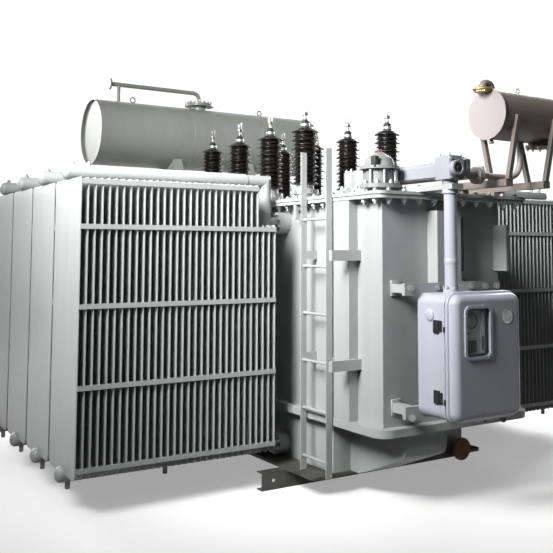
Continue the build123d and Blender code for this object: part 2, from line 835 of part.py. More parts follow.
leg_foot_z = small_beam_z + small_beam_height
leg_top_z = small_z - leg_top_drop
with BuildPart() as small_legs:
    for x in small_beam_xs:
        for sign in (-1, 1):
            foot_y = small_y + sign * leg_foot_spread / 2
            top_y = small_y + sign * leg_top_spread / 2
            with BuildSketch(Plane.YZ.offset(x - leg_size / 2)):
                with BuildLine():
                    Polyline(
                        (foot_y - leg_size / 2, leg_foot_z),
                        (foot_y + leg_size / 2, leg_foot_z),
                        (top_y + leg_size / 2, leg_top_z),
                        (top_y - leg_size / 2, leg_top_z),
                        close=True,
                    )
                make_face()
                with Locations((small_y, small_z)):
                    Circle(small_radius, mode=Mode.SUBTRACT)
            extrude(amount=leg_size)
save(small_legs, "small_conservator_legs")

# Pipe from the tap-changer head, past the gearbox and up into the small conservator
with BuildPart() as small_pipe:
    with BuildLine():
        small_path = Polyline(
            (small_pipe_x, head_y, small_pipe_z),
            (small_pipe_x, small_y, small_pipe_z),
            (small_inlet_x, small_y, small_pipe_z),
            (small_inlet_x, small_y, small_z),
        )
    with BuildSketch(Plane(origin=(small_pipe_x, head_y, small_pipe_z), z_dir=(0, -1, 0))):
        Circle(small_pipe_diameter / 2)
    sweep(path=small_path, transition=Transition.RIGHT)
    with Locations((small_pipe_x + small_pipe_flange_offset, small_y, small_pipe_z)):
        Cylinder(small_pipe_flange_diameter / 2, small_pipe_flange_thickness, rotation=(0, 90, 0))
    with Locations((head_x, head_y, head_body_z + head_body_height / 2)):
        Cylinder(head_body_diameter / 2, head_body_height, mode=Mode.SUBTRACT)
    with Locations((small_inlet_x, small_y, small_z)):
        Cylinder(small_radius, 2 * small_pipe_diameter, rotation=(0, 90, 0), mode=Mode.SUBTRACT)
save(small_pipe, "small_conservator_pipe")

# Pressure relief device: neck, bolted flange, body, brim and dome
flange_bottom_z = cover_top_z + relief_neck_height
flange_top_z = flange_bottom_z + relief_flange_thickness
brim_bottom_z = flange_top_z + relief_body_height
brim_top_z = brim_bottom_z + relief_brim_thickness
dome_top_z = brim_top_z + relief_dome_height
dome_middle_z = brim_top_z + relief_dome_height * relief_dome_share
with BuildPart() as relief_device:
    with BuildSketch(Plane.XZ.offset(-relief_y)):
        with BuildLine():
            Polyline(
                (relief_x, dome_top_z),
                (relief_x, cover_top_z),
                (relief_x + relief_neck_diameter / 2, cover_top_z),
                (relief_x + relief_neck_diameter / 2, flange_bottom_z),
                (relief_x + relief_flange_diameter / 2, flange_bottom_z),
                (relief_x + relief_flange_diameter / 2, flange_top_z),
                (relief_x + relief_body_diameter / 2, flange_top_z),
                (relief_x + relief_body_diameter / 2, brim_bottom_z),
                (relief_x + relief_flange_diameter / 2, brim_bottom_z),
                (relief_x + relief_flange_diameter / 2, brim_top_z),
                (relief_x + relief_body_diameter / 2, brim_top_z),
                (relief_x + (relief_body_diameter + relief_tip_diameter) / 3, dome_middle_z),
                (relief_x + relief_tip_diameter / 2, dome_top_z),
                close=True,
            )
        make_face()
    revolve(axis=Axis((relief_x, relief_y, 0), (0, 0, 1)))
save(relief_device, "pressure_relief")

# Tap-changer head
with BuildPart() as tap_changer_head:
    with BuildSketch(Plane.XY.offset(cover_top_z)):
        with Locations((head_x, head_y)):
            Circle(head_diameter / 2)
    extrude(amount=head_flange_thickness)
    with BuildSketch(Plane.XY.offset(head_body_z)):
        with Locations((head_x, head_y)):
            Circle(head_body_diameter / 2)
    extrude(amount=head_body_height)
    port_height = gearbox_middle_z + guard_height / 2 - head_body_z
    with Locations((gearbox_x, head_y - head_port_reach / 2, head_body_z + port_height / 2)):
        Box(head_port_width, head_port_reach, port_height)
save(tap_changer_head, "tap_changer_head")

# Bevel gearbox on its cantilever arm, the guarded shaft behind it and the upright drive tube
with BuildPart() as gearbox_arm:
    with Locations((gearbox_x, (arm_front_y + arm_rear_y) / 2, cover_top_z + arm_height / 2)):
        Box(arm_width, arm_rear_y - arm_front_y, arm_height)
save(gearbox_arm, "gearbox_arm")

gearbox_base_z = cover_top_z + arm_height
boss_y = arm_front_y - gearbox_boss_length / 2
with BuildPart() as bevel_gearbox:
    with Locations((gearbox_x, gearbox_y, gearbox_middle_z)):
        Box(gearbox_size, gearbox_size, gearbox_size)
    fillet(bevel_gearbox.edges().filter_by(Axis.Z), gearbox_corner)
    with Locations((gearbox_x, gearbox_y, (gearbox_base_z + gearbox_z) / 2)):
        Cylinder(gearbox_foot_diameter / 2, gearbox_z - gearbox_base_z)
    with Locations((gearbox_x - gearbox_boss_shift, boss_y, gearbox_middle_z)):
        Cylinder(gearbox_boss_diameter / 2, gearbox_boss_length, rotation=(90, 0, 0))
save(bevel_gearbox, "bevel_gearbox")

guard_length = guard_rear_y - guard_front_y
with BuildPart() as shaft_guard:
    with Locations((gearbox_x, guard_front_y + guard_length / 2, gearbox_middle_z)):
        Box(guard_width, guard_length, guard_height)
    top_edges = shaft_guard.edges().filter_by(Axis.Y).group_by(Axis.Z)[-1]
    chamfer(top_edges, guard_chamfer)
save(shaft_guard, "shaft_guard")

with BuildPart() as drive_tube:
    tube_height = cover_top_z - cabinet_top_z
    with Locations((gearbox_x, gearbox_y, cabinet_top_z + tube_height / 2)):
        Cylinder(drive_tube_diameter / 2, tube_height)
    for z in (cabinet_top_z + drive_collar_height / 2, cover_top_z - drive_collar_height / 2):
        with Locations((gearbox_x, gearbox_y, z)):
            Cylinder(drive_collar_diameter / 2, drive_collar_height)
save(drive_tube, "drive_tube")

# Motor-drive cabinet: an open-fronted box with rounded corners
with BuildPart() as cabinet_body:
    with BuildSketch(Plane.XZ.offset(-cabinet_rear_y)):
        with Locations((cabinet_middle_x, cabinet_middle_z)):
            RectangleRounded(cabinet_width, cabinet_height, cabinet_corner_radius)
    extrude(amount=cabinet_body_depth)
    with BuildSketch(Plane.XZ.offset(-cabinet_rear_y + cabinet_wall)):
        with Locations((cabinet_middle_x, cabinet_middle_z)):
            RectangleRounded(
                cabinet_width - 2 * cabinet_wall,
                cabinet_height - 2 * cabinet_wall,
                cabinet_corner_radius - cabinet_wall,
            )
    extrude(amount=cabinet_body_depth, mode=Mode.SUBTRACT)
save(cabinet_body, "cabinet_body")

# Door: a deep rounded lid with a window opening
with BuildPart() as cabinet_door:
    with BuildSketch(Plane.XZ.offset(-door_rear_y)):
        with Locations((cabinet_middle_x, cabinet_middle_z)):
            RectangleRounded(cabinet_width, cabinet_height, cabinet_corner_radius)
    extrude(amount=door_depth)
    fillet(cabinet_door.faces().sort_by(Axis.Y)[0].edges(), door_edge_radius)
    offset(amount=-door_wall, openings=cabinet_door.faces().sort_by(Axis.Y)[-1])
    with BuildSketch(Plane.XZ.offset(-door_rear_y)):
        with Locations((window_x, window_z)):
            RectangleRounded(window_width, window_height, window_corner_radius)
    extrude(amount=2 * door_depth, mode=Mode.SUBTRACT)
    for z in hinge_zs:
        knuckle_z = z + hinge_play
        knuckle_height = hinge_height / 2 - hinge_play
        with Locations((hinge_x, hinge_y, knuckle_z + knuckle_height / 2)):
            Cylinder(hinge_barrel_diameter / 2, knuckle_height)
        arm_depth = hinge_barrel_diameter / 2
        with Locations(
            (hinge_x + hinge_pin_reach / 2, door_rear_y - arm_depth / 2, knuckle_z + knuckle_height / 2)
        ):
            Box(hinge_pin_reach, arm_depth, knuckle_height)
        with Locations((hinge_x, hinge_y, knuckle_z + knuckle_height / 2)):
            Cylinder(hinge_pin_diameter / 2 + hinge_play, knuckle_height, mode=Mode.SUBTRACT)
save(cabinet_door, "cabinet_door")

with BuildPart() as window_frame:
    with BuildSketch(Plane.XZ.offset(-door_front_y)):
        with Locations((window_x, window_z)):
            RectangleRounded(
                window_width + 2 * window_frame_width,
                window_height + 2 * window_frame_width,
                window_corner_radius + window_frame_width,
            )
            RectangleRounded(window_width, window_height, window_corner_radius, mode=Mode.SUBTRACT)
    extrude(amount=window_frame_height)
save(window_frame, "window_frame")

with BuildPart() as window_glass:
    with BuildSketch(Plane.XZ.offset(-door_front_y - door_wall)):
        with Locations((window_x, window_z)):
            RectangleRounded(window_width, window_height, window_corner_radius)
    extrude(amount=window_glass_thickness)
save(window_glass, "window_glass")

# Instrument plate behind the window, on rails from the cabinet's back
with BuildPart() as instrument_plate:
    inner_rear_y = cabinet_rear_y - cabinet_wall
    rail_depth = inner_rear_y - instrument_plate_y
    with Locations((window_x, instrument_plate_y - instrument_plate_thickness / 2, window_z)):
        Box(
            window_width + 2 * instrument_plate_margin,
            instrument_plate_thickness,
            window_height + 2 * instrument_plate_margin,
        )
    for sign in (-1, 1):
        rail_z = window_z + sign * window_height / 2
        with Locations((window_x, instrument_plate_y + rail_depth / 2, rail_z)):
            Box(window_width, rail_depth, instrument_rail_height)
save(instrument_plate, "instrument_plate")

# Hinges on the cabinet's left side
with BuildPart() as hinge_leaves:
    web_depth = hinge_barrel_diameter / 2
    leaf_y = cabinet_front_y + web_depth + hinge_leaf_depth / 2
    for z in hinge_zs:
        with Locations((cabinet_left_x - hinge_leaf_thickness / 2, leaf_y, z)):
            Box(hinge_leaf_thickness, hinge_leaf_depth, hinge_height)
        with Locations((hinge_x, hinge_y, z - hinge_height / 4)):
            Cylinder(hinge_barrel_diameter / 2, hinge_height / 2)
        with Locations((hinge_x, hinge_y, z + hinge_height / 4)):
            Cylinder(hinge_pin_diameter / 2, hinge_height / 2)
        with Locations(
            (hinge_x + hinge_pin_reach / 2, cabinet_front_y + web_depth / 2, z - hinge_height / 4)
        ):
            Box(hinge_pin_reach, web_depth, hinge_height / 2)
save(hinge_leaves, "hinge_leaves")

# Crossbars and stub brackets that carry the cabinet off the tank wall
bar_left_x = cabinet_left_x - crossbar_left_reach
bar_right_x = cabinet_right_x + crossbar_right_reach
bar_middle_x = (bar_left_x + bar_right_x) / 2
stub_length = cabinet_standoff - crossbar_depth
with BuildPart() as cabinet_brackets:
    for edge_z in (cabinet_top_z, cabinet_bottom_z):
        bar_z = edge_z + crossbar_height / 2 - crossbar_drop
        with Locations((bar_middle_x, cabinet_rear_y + crossbar_depth / 2, bar_z)):
            Box(bar_right_x - bar_left_x, crossbar_depth, crossbar_height)
        for stub_x in (bar_left_x + stub_inset, bar_right_x - stub_inset):
            with Locations((stub_x, front_wall_y - stub_length / 2, bar_z)):
                Box(stub_width, stub_length, stub_height)
save(cabinet_brackets, "cabinet_brackets")

# Ladder: two flat rails, round rungs between them, stays to the tank wall
rail_inner_gap = ladder_rail_gap - rail_thickness
with BuildPart() as ladder_rails:
    rail_height = ladder_top_z - tray_z
    for y in (ladder_left_y, ladder_right_y):
        with Locations((ladder_x, y, tray_z + rail_height / 2)):
            Box(rail_width, rail_thickness, rail_height)
save(ladder_rails, "ladder_rails")

with BuildPart() as ladder_rungs:
    for index in range(rung_count):
        rung_z = rung_first_z + index * rung_pitch
        with Locations((ladder_x, (ladder_left_y + ladder_right_y) / 2, rung_z)):
            Cylinder(rung_diameter / 2, rail_inner_gap, rotation=(90, 0, 0))
save(ladder_rungs, "ladder_rungs")

rail_back_x = ladder_x + rail_width / 2
with BuildPart() as ladder_stays:
    wall_stay = -half_width - rail_back_x
    stiffener_stay = wall_stay - stiffener_depth
    for z in stay_zs:
        with Locations((rail_back_x + wall_stay / 2, ladder_left_y, z)):
            Box(wall_stay, rail_thickness, ladder_stay_height)
        with Locations((rail_back_x + stiffener_stay / 2, ladder_right_y, z)):
            Box(stiffener_stay, rail_thickness, ladder_stay_height)
save(ladder_stays, "ladder_stays")

# Drain valve: a pipe out of the lower tank's front wall to a blanked flange
with BuildPart() as drain_valve:
    with Locations((drain_x, tray_front_y - drain_reach / 2, drain_z)):
        Cylinder(drain_pipe_diameter / 2, drain_reach, rotation=(90, 0, 0))
    with Locations((drain_x, tray_front_y - drain_reach + drain_flange_thickness / 2, drain_z)):
        Cylinder(drain_flange_diameter / 2, drain_flange_thickness, rotation=(90, 0, 0))
save(drain_valve, "drain_valve")
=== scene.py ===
# %% [markdown]
# A power transformer, dressed in Blender over its imported CAD frame. The solids already give the main forms in their
# places, so this lesson adds what solids leave out: pressed radiator panels, bushing sheds, bolts and paint. First the
# frame is loaded. Nothing added here may grow past it.

# %% Load the frame
import json
import math

import bpy
import numpy as np
from mathutils import Matrix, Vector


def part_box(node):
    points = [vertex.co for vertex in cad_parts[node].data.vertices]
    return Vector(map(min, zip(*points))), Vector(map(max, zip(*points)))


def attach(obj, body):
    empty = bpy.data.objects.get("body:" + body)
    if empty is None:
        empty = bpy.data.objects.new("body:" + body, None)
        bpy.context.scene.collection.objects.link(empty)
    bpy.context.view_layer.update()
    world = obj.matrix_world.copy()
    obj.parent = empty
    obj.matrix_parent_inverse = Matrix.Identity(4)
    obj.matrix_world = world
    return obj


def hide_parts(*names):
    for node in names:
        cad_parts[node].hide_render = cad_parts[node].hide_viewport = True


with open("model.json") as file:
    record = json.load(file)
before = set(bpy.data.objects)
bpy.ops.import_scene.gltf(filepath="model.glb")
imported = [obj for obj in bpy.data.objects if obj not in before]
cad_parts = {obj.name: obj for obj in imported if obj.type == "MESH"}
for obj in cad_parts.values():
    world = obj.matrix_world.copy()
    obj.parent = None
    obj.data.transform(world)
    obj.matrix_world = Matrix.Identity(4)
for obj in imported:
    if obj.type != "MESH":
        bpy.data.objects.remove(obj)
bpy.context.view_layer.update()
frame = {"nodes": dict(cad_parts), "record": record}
nodes = frame["nodes"]

# %% [markdown]
# The camera stands at eye height in front of the left corner, as in the photograph. Its place, aim and lens come from
# a pinhole fit, and the shift puts the object where the photograph has it in the frame.

# %% Camera
eye = np.array([-3.703, -5.799, 1.588])
yaw, pitch = math.radians(33.57), math.radians(4.64)
forward = np.array([math.sin(yaw) * math.cos(pitch), math.cos(yaw) * math.cos(pitch), math.sin(pitch)])


def look(made, place, ahead):
    """Put a camera or a light at a place: it looks along the direction ahead, and its side stays level."""
    back = -ahead / np.linalg.norm(ahead)
    side = np.cross([0.0, 0.0, 1.0], back)
    side /= np.linalg.norm(side)
    turn = np.column_stack([side, np.cross(back, side), back])
    made.matrix_world = Matrix.Translation(place) @ Matrix(turn.tolist()).to_4x4()
    bpy.context.scene.collection.objects.link(made)


camera_data = bpy.data.cameras.new("camera")
camera_data.lens, camera_data.sensor_width = 53.8, 36.0
camera_data.shift_x, camera_data.shift_y = -0.0823, -0.166
camera = bpy.data.objects.new("camera", camera_data)
look(camera, eye, forward)
bpy.context.scene.camera = camera
print("camera at", eye, "lens", camera_data.lens)

# %% [markdown]
# Every new piece is a surface worked out as a grid of points: one parameter runs round a section, the other along
# it. Grids that close on themselves share their last and first columns, and rows that shrink to a point become
# triangles. A closed surface has a volume, and its sign says whether the faces look outwards.

# %% Surfaces from grids
def skin(points):
    """Faces of a grid of points, rows by columns, that closes along its rows: each quad joins a point, the next in
    its row and the two above them."""
    rows, columns = points.shape[:2]
    row = np.arange(rows - 1)[:, None]
    column = np.arange(columns)[None, :]
    following = (column + 1) % columns
    quads = np.stack(
        [row * columns + column, row * columns + following,
         (row + 1) * columns + following, (row + 1) * columns + column], -1
    ).reshape(-1, 4)
    return weld(points.reshape(-1, 3), quads)


MERGE_DIGITS = 6


def weld(points, quads):
    """Merge points at one place, drop the repeated corner of a quad that became a triangle, and face outwards."""
    _, first, back = np.unique(np.round(points, MERGE_DIGITS), axis=0, return_index=True, return_inverse=True)
    quads = back.reshape(-1)[quads]
    points = points[first]
    repeats = quads == np.roll(quads, -1, axis=1)
    whole = quads[repeats.sum(1) == 0]
    thin = repeats.sum(1) == 1
    triangles = quads[thin][~repeats[thin]].reshape(-1, 3)
    corners = np.concatenate([whole[:, [0, 1, 2]], whole[:, [0, 2, 3]], triangles])
    a, b, c = (points[corners[:, i]] - points.mean(0) for i in range(3))
    if np.einsum("ij,ij->i", a, np.cross(b, c)).sum() < 0:
        whole, triangles = whole[:, ::-1], triangles[:, ::-1]
    return points, whole, triangles


def join(*shapes):
    """One shape from several: their points in a row, their faces moved on by the points before them."""
    starts = np.cumsum([0] + [len(shape[0]) for shape in shapes[:-1]])
    return tuple(
        np.concatenate([shape[part] + (start if part else 0) for shape, start in zip(shapes, starts)])
        for part in range(3)
    )


def repeat(shape, places, turns=None):
    """A shape copied to each place, after the matching 3 by 3 turn if there is one: place + turn * point."""
    points, quads, triangles = shape
    places = np.asarray(places, float).reshape(-1, 3)
    turned = points[None] if turns is None else np.einsum("kij,mj->kmi", np.asarray(turns), points)
    spread = (turned + places[:, None]).reshape(-1, 3)
    steps = np.arange(len(places))[:, None, None] * len(points)
    return spread, (quads + steps).reshape(-1, 4), (triangles + steps).reshape(-1, 3)


# For each axis: two directions across it, then the one along it.
AXES = {"x": np.array([[0, 1, 0], [0, 0, 1], [1, 0, 0]], float),
        "y": np.array([[0, 0, 1], [1, 0, 0], [0, 1, 0]], float),
        "z": np.eye(3)}


def lathe(profile, centre=(0, 0, 0), axis="z", sides=32):
    """A profile of (radius, height) pairs swept round an axis: centre + height * axis + radius * (cos, sin)."""
    profile = np.asarray(profile, float)
    angle = np.linspace(0, 2 * np.pi, sides, endpoint=False) + np.pi / sides
    circle = np.cos(angle)[:, None] * AXES[axis][0] + np.sin(angle)[:, None] * AXES[axis][1]
    points = profile[:, :1, None] * circle[None] + profile[:, 1:, None] * AXES[axis][2]
    return skin(points + np.asarray(centre, float))


def pipe(path, radius, across, sides=20):
    """A round section carried along a path that lies in one plane; across is that plane's normal."""
    path = np.asarray(path, float)
    along = np.gradient(path, axis=0)
    along /= np.linalg.norm(along, axis=1, keepdims=True)
    across = np.asarray(across, float)
    lift = np.cross(along, across)
    angle = np.linspace(0, 2 * np.pi, sides, endpoint=False)[None, :, None]
    offset = np.cos(angle) * across + np.sin(angle) * lift[:, None]
    points = path[:, None] + radius * offset
    return skin(np.concatenate([path[:1, None].repeat(sides, 1), points, path[-1:, None].repeat(sides, 1)]))


def slab(outline, heights, insets, axis="z", centre=(0, 0, 0)):
    """A flat outline stacked along an axis: at each height it shrinks towards its middle by an inset share."""
    outline = np.asarray(outline, float)
    mean = outline.mean(0)
    share = 1 - np.asarray(insets, float)
    flat = mean + share[:, None, None] * (outline - mean)[None]
    points = flat @ AXES[axis][:2] + np.asarray(heights, float)[:, None, None] * AXES[axis][2]
    return skin(points + np.asarray(centre, float))


def rounded(width, height, radius, steps=6):
    """The outline of a rectangle with round corners: four quarter circles about the corner centres."""
    quarter = np.linspace(0, np.pi / 2, steps)
    angle = (np.arange(4)[:, None] * np.pi / 2 + quarter).ravel()
    signs = np.repeat(np.array([[1, 1], [-1, 1], [-1, -1], [1, -1]]), steps, axis=0)
    core = signs * np.array([width / 2 - radius, height / 2 - radius])
    return core + radius * np.column_stack([np.cos(angle), np.sin(angle)])


def bent(corners, radius, steps=9):
    """A path of straight runs with each corner turned as an arc: the arc is a blend of its two tangent points."""
    corners = np.asarray(corners, float)
    run = [corners[:1]]
    share = np.linspace(0, 1, steps)[:, None]
    for before, corner, after in zip(corners[:-2], corners[1:-1], corners[2:]):
        start = corner + radius * (before - corner) / np.linalg.norm(before - corner)
        end = corner + radius * (after - corner) / np.linalg.norm(after - corner)
        run.append((1 - share) ** 2 * start + 2 * share * (1 - share) * corner + share ** 2 * end)
    return np.concatenate(run + [corners[-1:]])


print("grid helpers ready")

# %% [markdown]
# Finishes are shader graphs. A small class wraps a socket, so that sums and products of masks read as plain Python
# and each one adds its own Math node. Every pattern reads Object coordinates, in metres, so it keeps its scale.

# %% Sockets as numbers
class Wire:
    """A shader socket that arithmetic extends: an expression on wires adds the Math nodes that it needs."""

    def __init__(self, socket):
        self.socket = socket

    def add(self, kind, settings, values, out=0):
        """A node of any kind: its settings first, then a value or a link for each of its sockets."""
        made = self.socket.id_data.nodes.new(kind)
        for key, value in settings.items():
            setattr(made, key, value)
        for key, value in values.items():
            plug(made.inputs[key], value)
        return Wire(made.outputs[out])

    def math(self, operation, first, second):
        return self.add("ShaderNodeMath", {"operation": operation}, {0: first, 1: second})

    def __add__(self, other):
        return self.math("ADD", self, other)

    def __sub__(self, other):
        return self.math("SUBTRACT", self, other)

    def __rsub__(self, other):
        return self.math("SUBTRACT", other, self)

    def __mul__(self, other):
        return self.math("MULTIPLY", self, other)

    __radd__ = __add__
    __rmul__ = __mul__


def plug(socket, value):
    """Link a wire to a socket, or set a plain value on the socket itself."""
    if isinstance(value, Wire):
        socket.id_data.links.new(value.socket, socket)
    else:
        socket.default_value = value


def new_finish(name):
    """An empty finish: its material, its shader node and a wire of Object coordinates."""
    made = bpy.data.materials.new(name)
    made.use_nodes = True
    place = made.node_tree.nodes.new("ShaderNodeTexCoord")
    return made, made.node_tree.nodes["Principled BSDF"], Wire(place.outputs["Object"])


def feed(shader, **values):
    """Wires or plain values for the shader's sockets by name, with _ for a space."""
    for key, value in values.items():
        plug(shader.inputs[key.replace("_", " ")], value)


def noise(place, scale, detail=3.0):
    """Cloudy values round a half, with blobs about 1/scale metres wide."""
    return place.add("ShaderNodeTexNoise", {}, {"Vector": place, "Scale": scale, "Detail": detail}, "Fac")


def ramp(value, low, high, start=0.0, end=1.0):
    """A value between low and high, spread over start to end and held there outside."""
    spread = {"Value": value, "From Min": low, "From Max": high, "To Min": start, "To Max": end}
    return value.add("ShaderNodeMapRange", {}, spread)


def mix(share, first, second):
    """The first colour where share is 0, the second where it is 1."""
    return share.add("ShaderNodeMix", {"data_type": "RGBA"}, {0: share, 6: first, 7: second}, 2)


def bump(height, strength, distance):
    """A normal that follows a height in metres times distance."""
    return height.add("ShaderNodeBump", {}, {"Height": height, "Strength": strength, "Distance": distance}, "Normal")


def shade(colour, factor):
    """A colour made darker or lighter by a factor, with full alpha."""
    return tuple(min(1.0, part * factor) for part in colour[:3]) + (1.0,)


print("shader helpers ready")

# %% [markdown]
# Most of a transformer is sprayed steel. Real enamel isn't one colour: its tone drifts from panel to panel, rain
# leaves faint upright streaks, dust settles towards the ground, and the surface has a fine orange peel.

# %% Paint
STREAK_SCALE, DUST_HEIGHT, DUST_COLOUR = (11.0, 11.0, 0.6), 1.1, (0.34, 0.31, 0.27, 1.0)


def paint(name, colour, rough=0.38, dust=0.18, peel=0.06):
    """Enamel: tone = broad noise + upright streaks, dust film = (1 - share of the dusty height) * dust * specks,
    peel = a fine bump."""
    made, shader, place = new_finish(name)
    upright = place.add("ShaderNodeMapping", {}, {"Vector": place, "Scale": STREAK_SCALE})
    tone = noise(place, 1.4, 4.0) * 0.6 + noise(upright, 1.0) * 0.4
    height = place.add("ShaderNodeSeparateXYZ", {}, {0: place}, "Z")
    specks = ramp(noise(place, 9.0, 5.0), 0.3, 0.75)
    film = (1 - ramp(height, 0.0, DUST_HEIGHT)) * dust * specks
    base = mix(ramp(tone, 0.35, 0.65), shade(colour, 0.92), shade(colour, 1.06))
    feed(
        shader,
        Base_Color=mix(film, base, DUST_COLOUR),
        Roughness=film * 0.5 + ramp(tone, 0.3, 0.7, rough - 0.05, rough + 0.06),
        Normal=bump(noise(place, 260.0, 2.0), peel, 0.002),
    )
    return made


# For each paint: its colour, then its roughness, dust and peel where they aren't the usual ones.
PAINTS = {
    "tank_paint": ((0.34, 0.355, 0.35),),
    "radiator_paint": ((0.35, 0.365, 0.36),),
    # base_paint is nearly black as painted shade: it stands in for the deep shadow under the tank.
    "base_paint": ((0.034, 0.037, 0.034), 0.5, 0.25),
    "conservator_paint": ((0.30, 0.315, 0.29), 0.36),
    "cabinet_paint": ((0.40, 0.41, 0.47), 0.32, 0.1, 0.04),
    "small_conservator_paint": ((0.17, 0.145, 0.125), 0.42),
    "drive_paint": ((0.265, 0.275, 0.305), 0.4),
    "small_end_paint": ((0.29, 0.255, 0.26), 0.42),
    "plate_white": ((0.66, 0.67, 0.67), 0.4, 0.0),
    "drain_paint": ((0.34, 0.13, 0.03), 0.6, 0.4),
    "black_hinge": ((0.012, 0.012, 0.013), 0.45, 0.0),
}
finishes = {name: paint(name, *values) for name, values in PAINTS.items()}
print("paints:", ", ".join(finishes))

# %% [markdown]
# The bushings are porcelain with a dark brown glaze: nearly black, but warm where light grazes it, under a clear
# glossy coat. The caps, clamps and studs are bare cast metal, duller and patchy, and the seals are black rubber. The
# cabinet's window is clear, with a faint film of dust.

# %% Glaze, bare metal, rubber and glass
def glaze(name, colour):
    """Glazed porcelain: brown that pools darker in patches, with a clear coat over it."""
    made, shader, place = new_finish(name)
    pool = noise(place, 24.0, 4.0)
    feed(
        shader,
        Base_Color=mix(ramp(pool, 0.35, 0.65), shade(colour, 0.6), shade(colour, 1.5)),
        Roughness=ramp(noise(place, 60.0), 0.3, 0.7, 0.28, 0.40),
        Normal=bump(noise(place, 140.0, 2.0), 0.05, 0.001),
        Coat_Weight=0.12,
        Coat_Roughness=0.12,
    )
    return made


def bare_metal(name, colour, rough):
    """Bare or plated metal: cast grain in the bump, and patches of dull oxide."""
    made, shader, place = new_finish(name)
    oxide = ramp(noise(place, 30.0, 5.0), 0.4, 0.7)
    feed(
        shader,
        Base_Color=mix(oxide, shade(colour, 1.0), shade(colour, 0.68)),
        Roughness=oxide * 0.22 + rough,
        Normal=bump(noise(place, 420.0, 2.0), 0.12, 0.001),
        Metallic=0.9,
    )
    return made


def dull(name, colour, rough, grain):
    """Rubber, plastic or raw dust-dry surfaces: an even colour with fine grain."""
    made, shader, place = new_finish(name)
    spots = noise(place, grain)
    feed(
        shader,
        Base_Color=mix(ramp(spots, 0.3, 0.7), shade(colour, 0.85), shade(colour, 1.15)),
        Roughness=ramp(spots, 0.3, 0.7, rough - 0.06, rough + 0.06),
        Normal=bump(noise(place, grain * 6.0, 2.0), 0.08, 0.001),
    )
    return made


def clear(name):
    """Window glass: smooth, mostly seen through, with a faint film of dust."""
    made, shader, place = new_finish(name)
    film = ramp(noise(place, 18.0, 4.0), 0.45, 0.75)
    feed(shader, Base_Color=(0.55, 0.6, 0.6, 1.0), Alpha=film * 0.06 + 0.06, Roughness=film * 0.2 + 0.04)
    made.surface_render_method = "BLENDED"
    return made


# For each metal: its colour and roughness. A dull finish also has the scale of its grain.
METALS = {
    "bare_aluminium": ((0.62, 0.63, 0.64), 0.36),
    "terminal_metal": ((0.50, 0.475, 0.42), 0.36),
    "bolt_zinc": ((0.60, 0.61, 0.60), 0.32),
    "brass": ((0.46, 0.34, 0.15), 0.48),
}
DULL_FINISHES = {
    "rubber": ((0.02, 0.02, 0.021), 0.7, 90.0),
    "red_cap": ((0.17, 0.035, 0.03), 0.5, 60.0),
    "cast_grey": ((0.19, 0.195, 0.19), 0.5, 45.0),
    "indicator_grey": ((0.74, 0.75, 0.74), 0.5, 50.0),
    "dark_inside": ((0.05, 0.05, 0.052), 0.6, 40.0),
}
finishes["porcelain"] = glaze("porcelain", (0.007, 0.0052, 0.0048))
finishes["window_clear"] = clear("window_clear")
finishes.update({name: bare_metal(name, *values) for name, values in METALS.items()})
finishes.update({name: dull(name, *values) for name, values in DULL_FINISHES.items()})
print("finishes:", len(finishes))

# %% [markdown]
# A piece is a mesh with a finish. It stays at the origin, as the solids do, and rides on a body, so that it moves with
# the tank or with the door. A piece that is drawn finer than a solid stands for it, and that solid is hidden.

# %% Pieces from shapes
slot_of = {row["node"]: row["material_slot"] for row in frame["record"]["subparts"]}


def piece(name, shape, finish, slot=None, body="transformer", stands_for=(), crease=38):
    """A mesh object at the origin from a shape: edges sharper than the crease angle, in degrees, stay crisp."""
    points, quads, triangles = shape
    mesh = bpy.data.meshes.new(name)
    mesh.from_pydata(points.tolist(), [], quads.tolist() + triangles.tolist())
    mesh.shade_smooth()
    mesh.set_sharp_from_angle(angle=math.radians(crease))
    mesh.materials.append(finishes[finish])
    made = bpy.data.objects.new(name, mesh)
    bpy.context.scene.collection.objects.link(made)
    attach(made, body)
    if stands_for:
        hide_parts(*stands_for)
    if slot is None and finish in slot_of.values():
        slot = finish
    print(f"{name}: {2 * len(quads) + len(triangles)} triangles")


print("slots in the record:", len(set(slot_of.values())))

# %% [markdown]
# A panel radiator is a bank of thin pressed-steel panels that hang between an upper and a lower header pipe. Each
# panel is two sheets welded at the rim, with shallow upright channels for the oil. A box would do from far away,
# but the light catches the swelling behind the rim, so each panel is a section carried up through a few levels.

# %% Radiators
RADIATORS, PANELS, SHORT_PANELS, PANEL_WIDTH, PANEL_PITCH, FIRST_PANEL = 4, 31, 3, 0.535, 0.045, 0.045
PANEL_BOTTOM, PANEL_TOP, SHORT_TOP, LOWER_CORNER, UPPER_CORNER = 0.240, 2.042, 1.772, 0.032, 0.012
RIM_HALF, SWELL_HALF, WAVE_HALF, WAVES = 0.0022, 0.0016, 0.0007, 7
HEADER_RADIUS, CAP_DEPTH, UPPER_Z, LOWER_Z = 0.050, 0.034, 2.090, 0.232
UPPER_RUN = 0.04 + (PANELS - SHORT_PANELS) * PANEL_PITCH
LOWER_RUN = 0.05 + (PANELS - 1) * PANEL_PITCH
VENT_INSETS, VENT_RISE, DRAIN_INSETS, DRAIN_DROP = (0.068, 0.172), 0.048, (0.083, 0.722), 0.095


def middle(low, high):
    """The point halfway between two corners."""
    return [(start + end) / 2 for start, end in zip(low, high)]


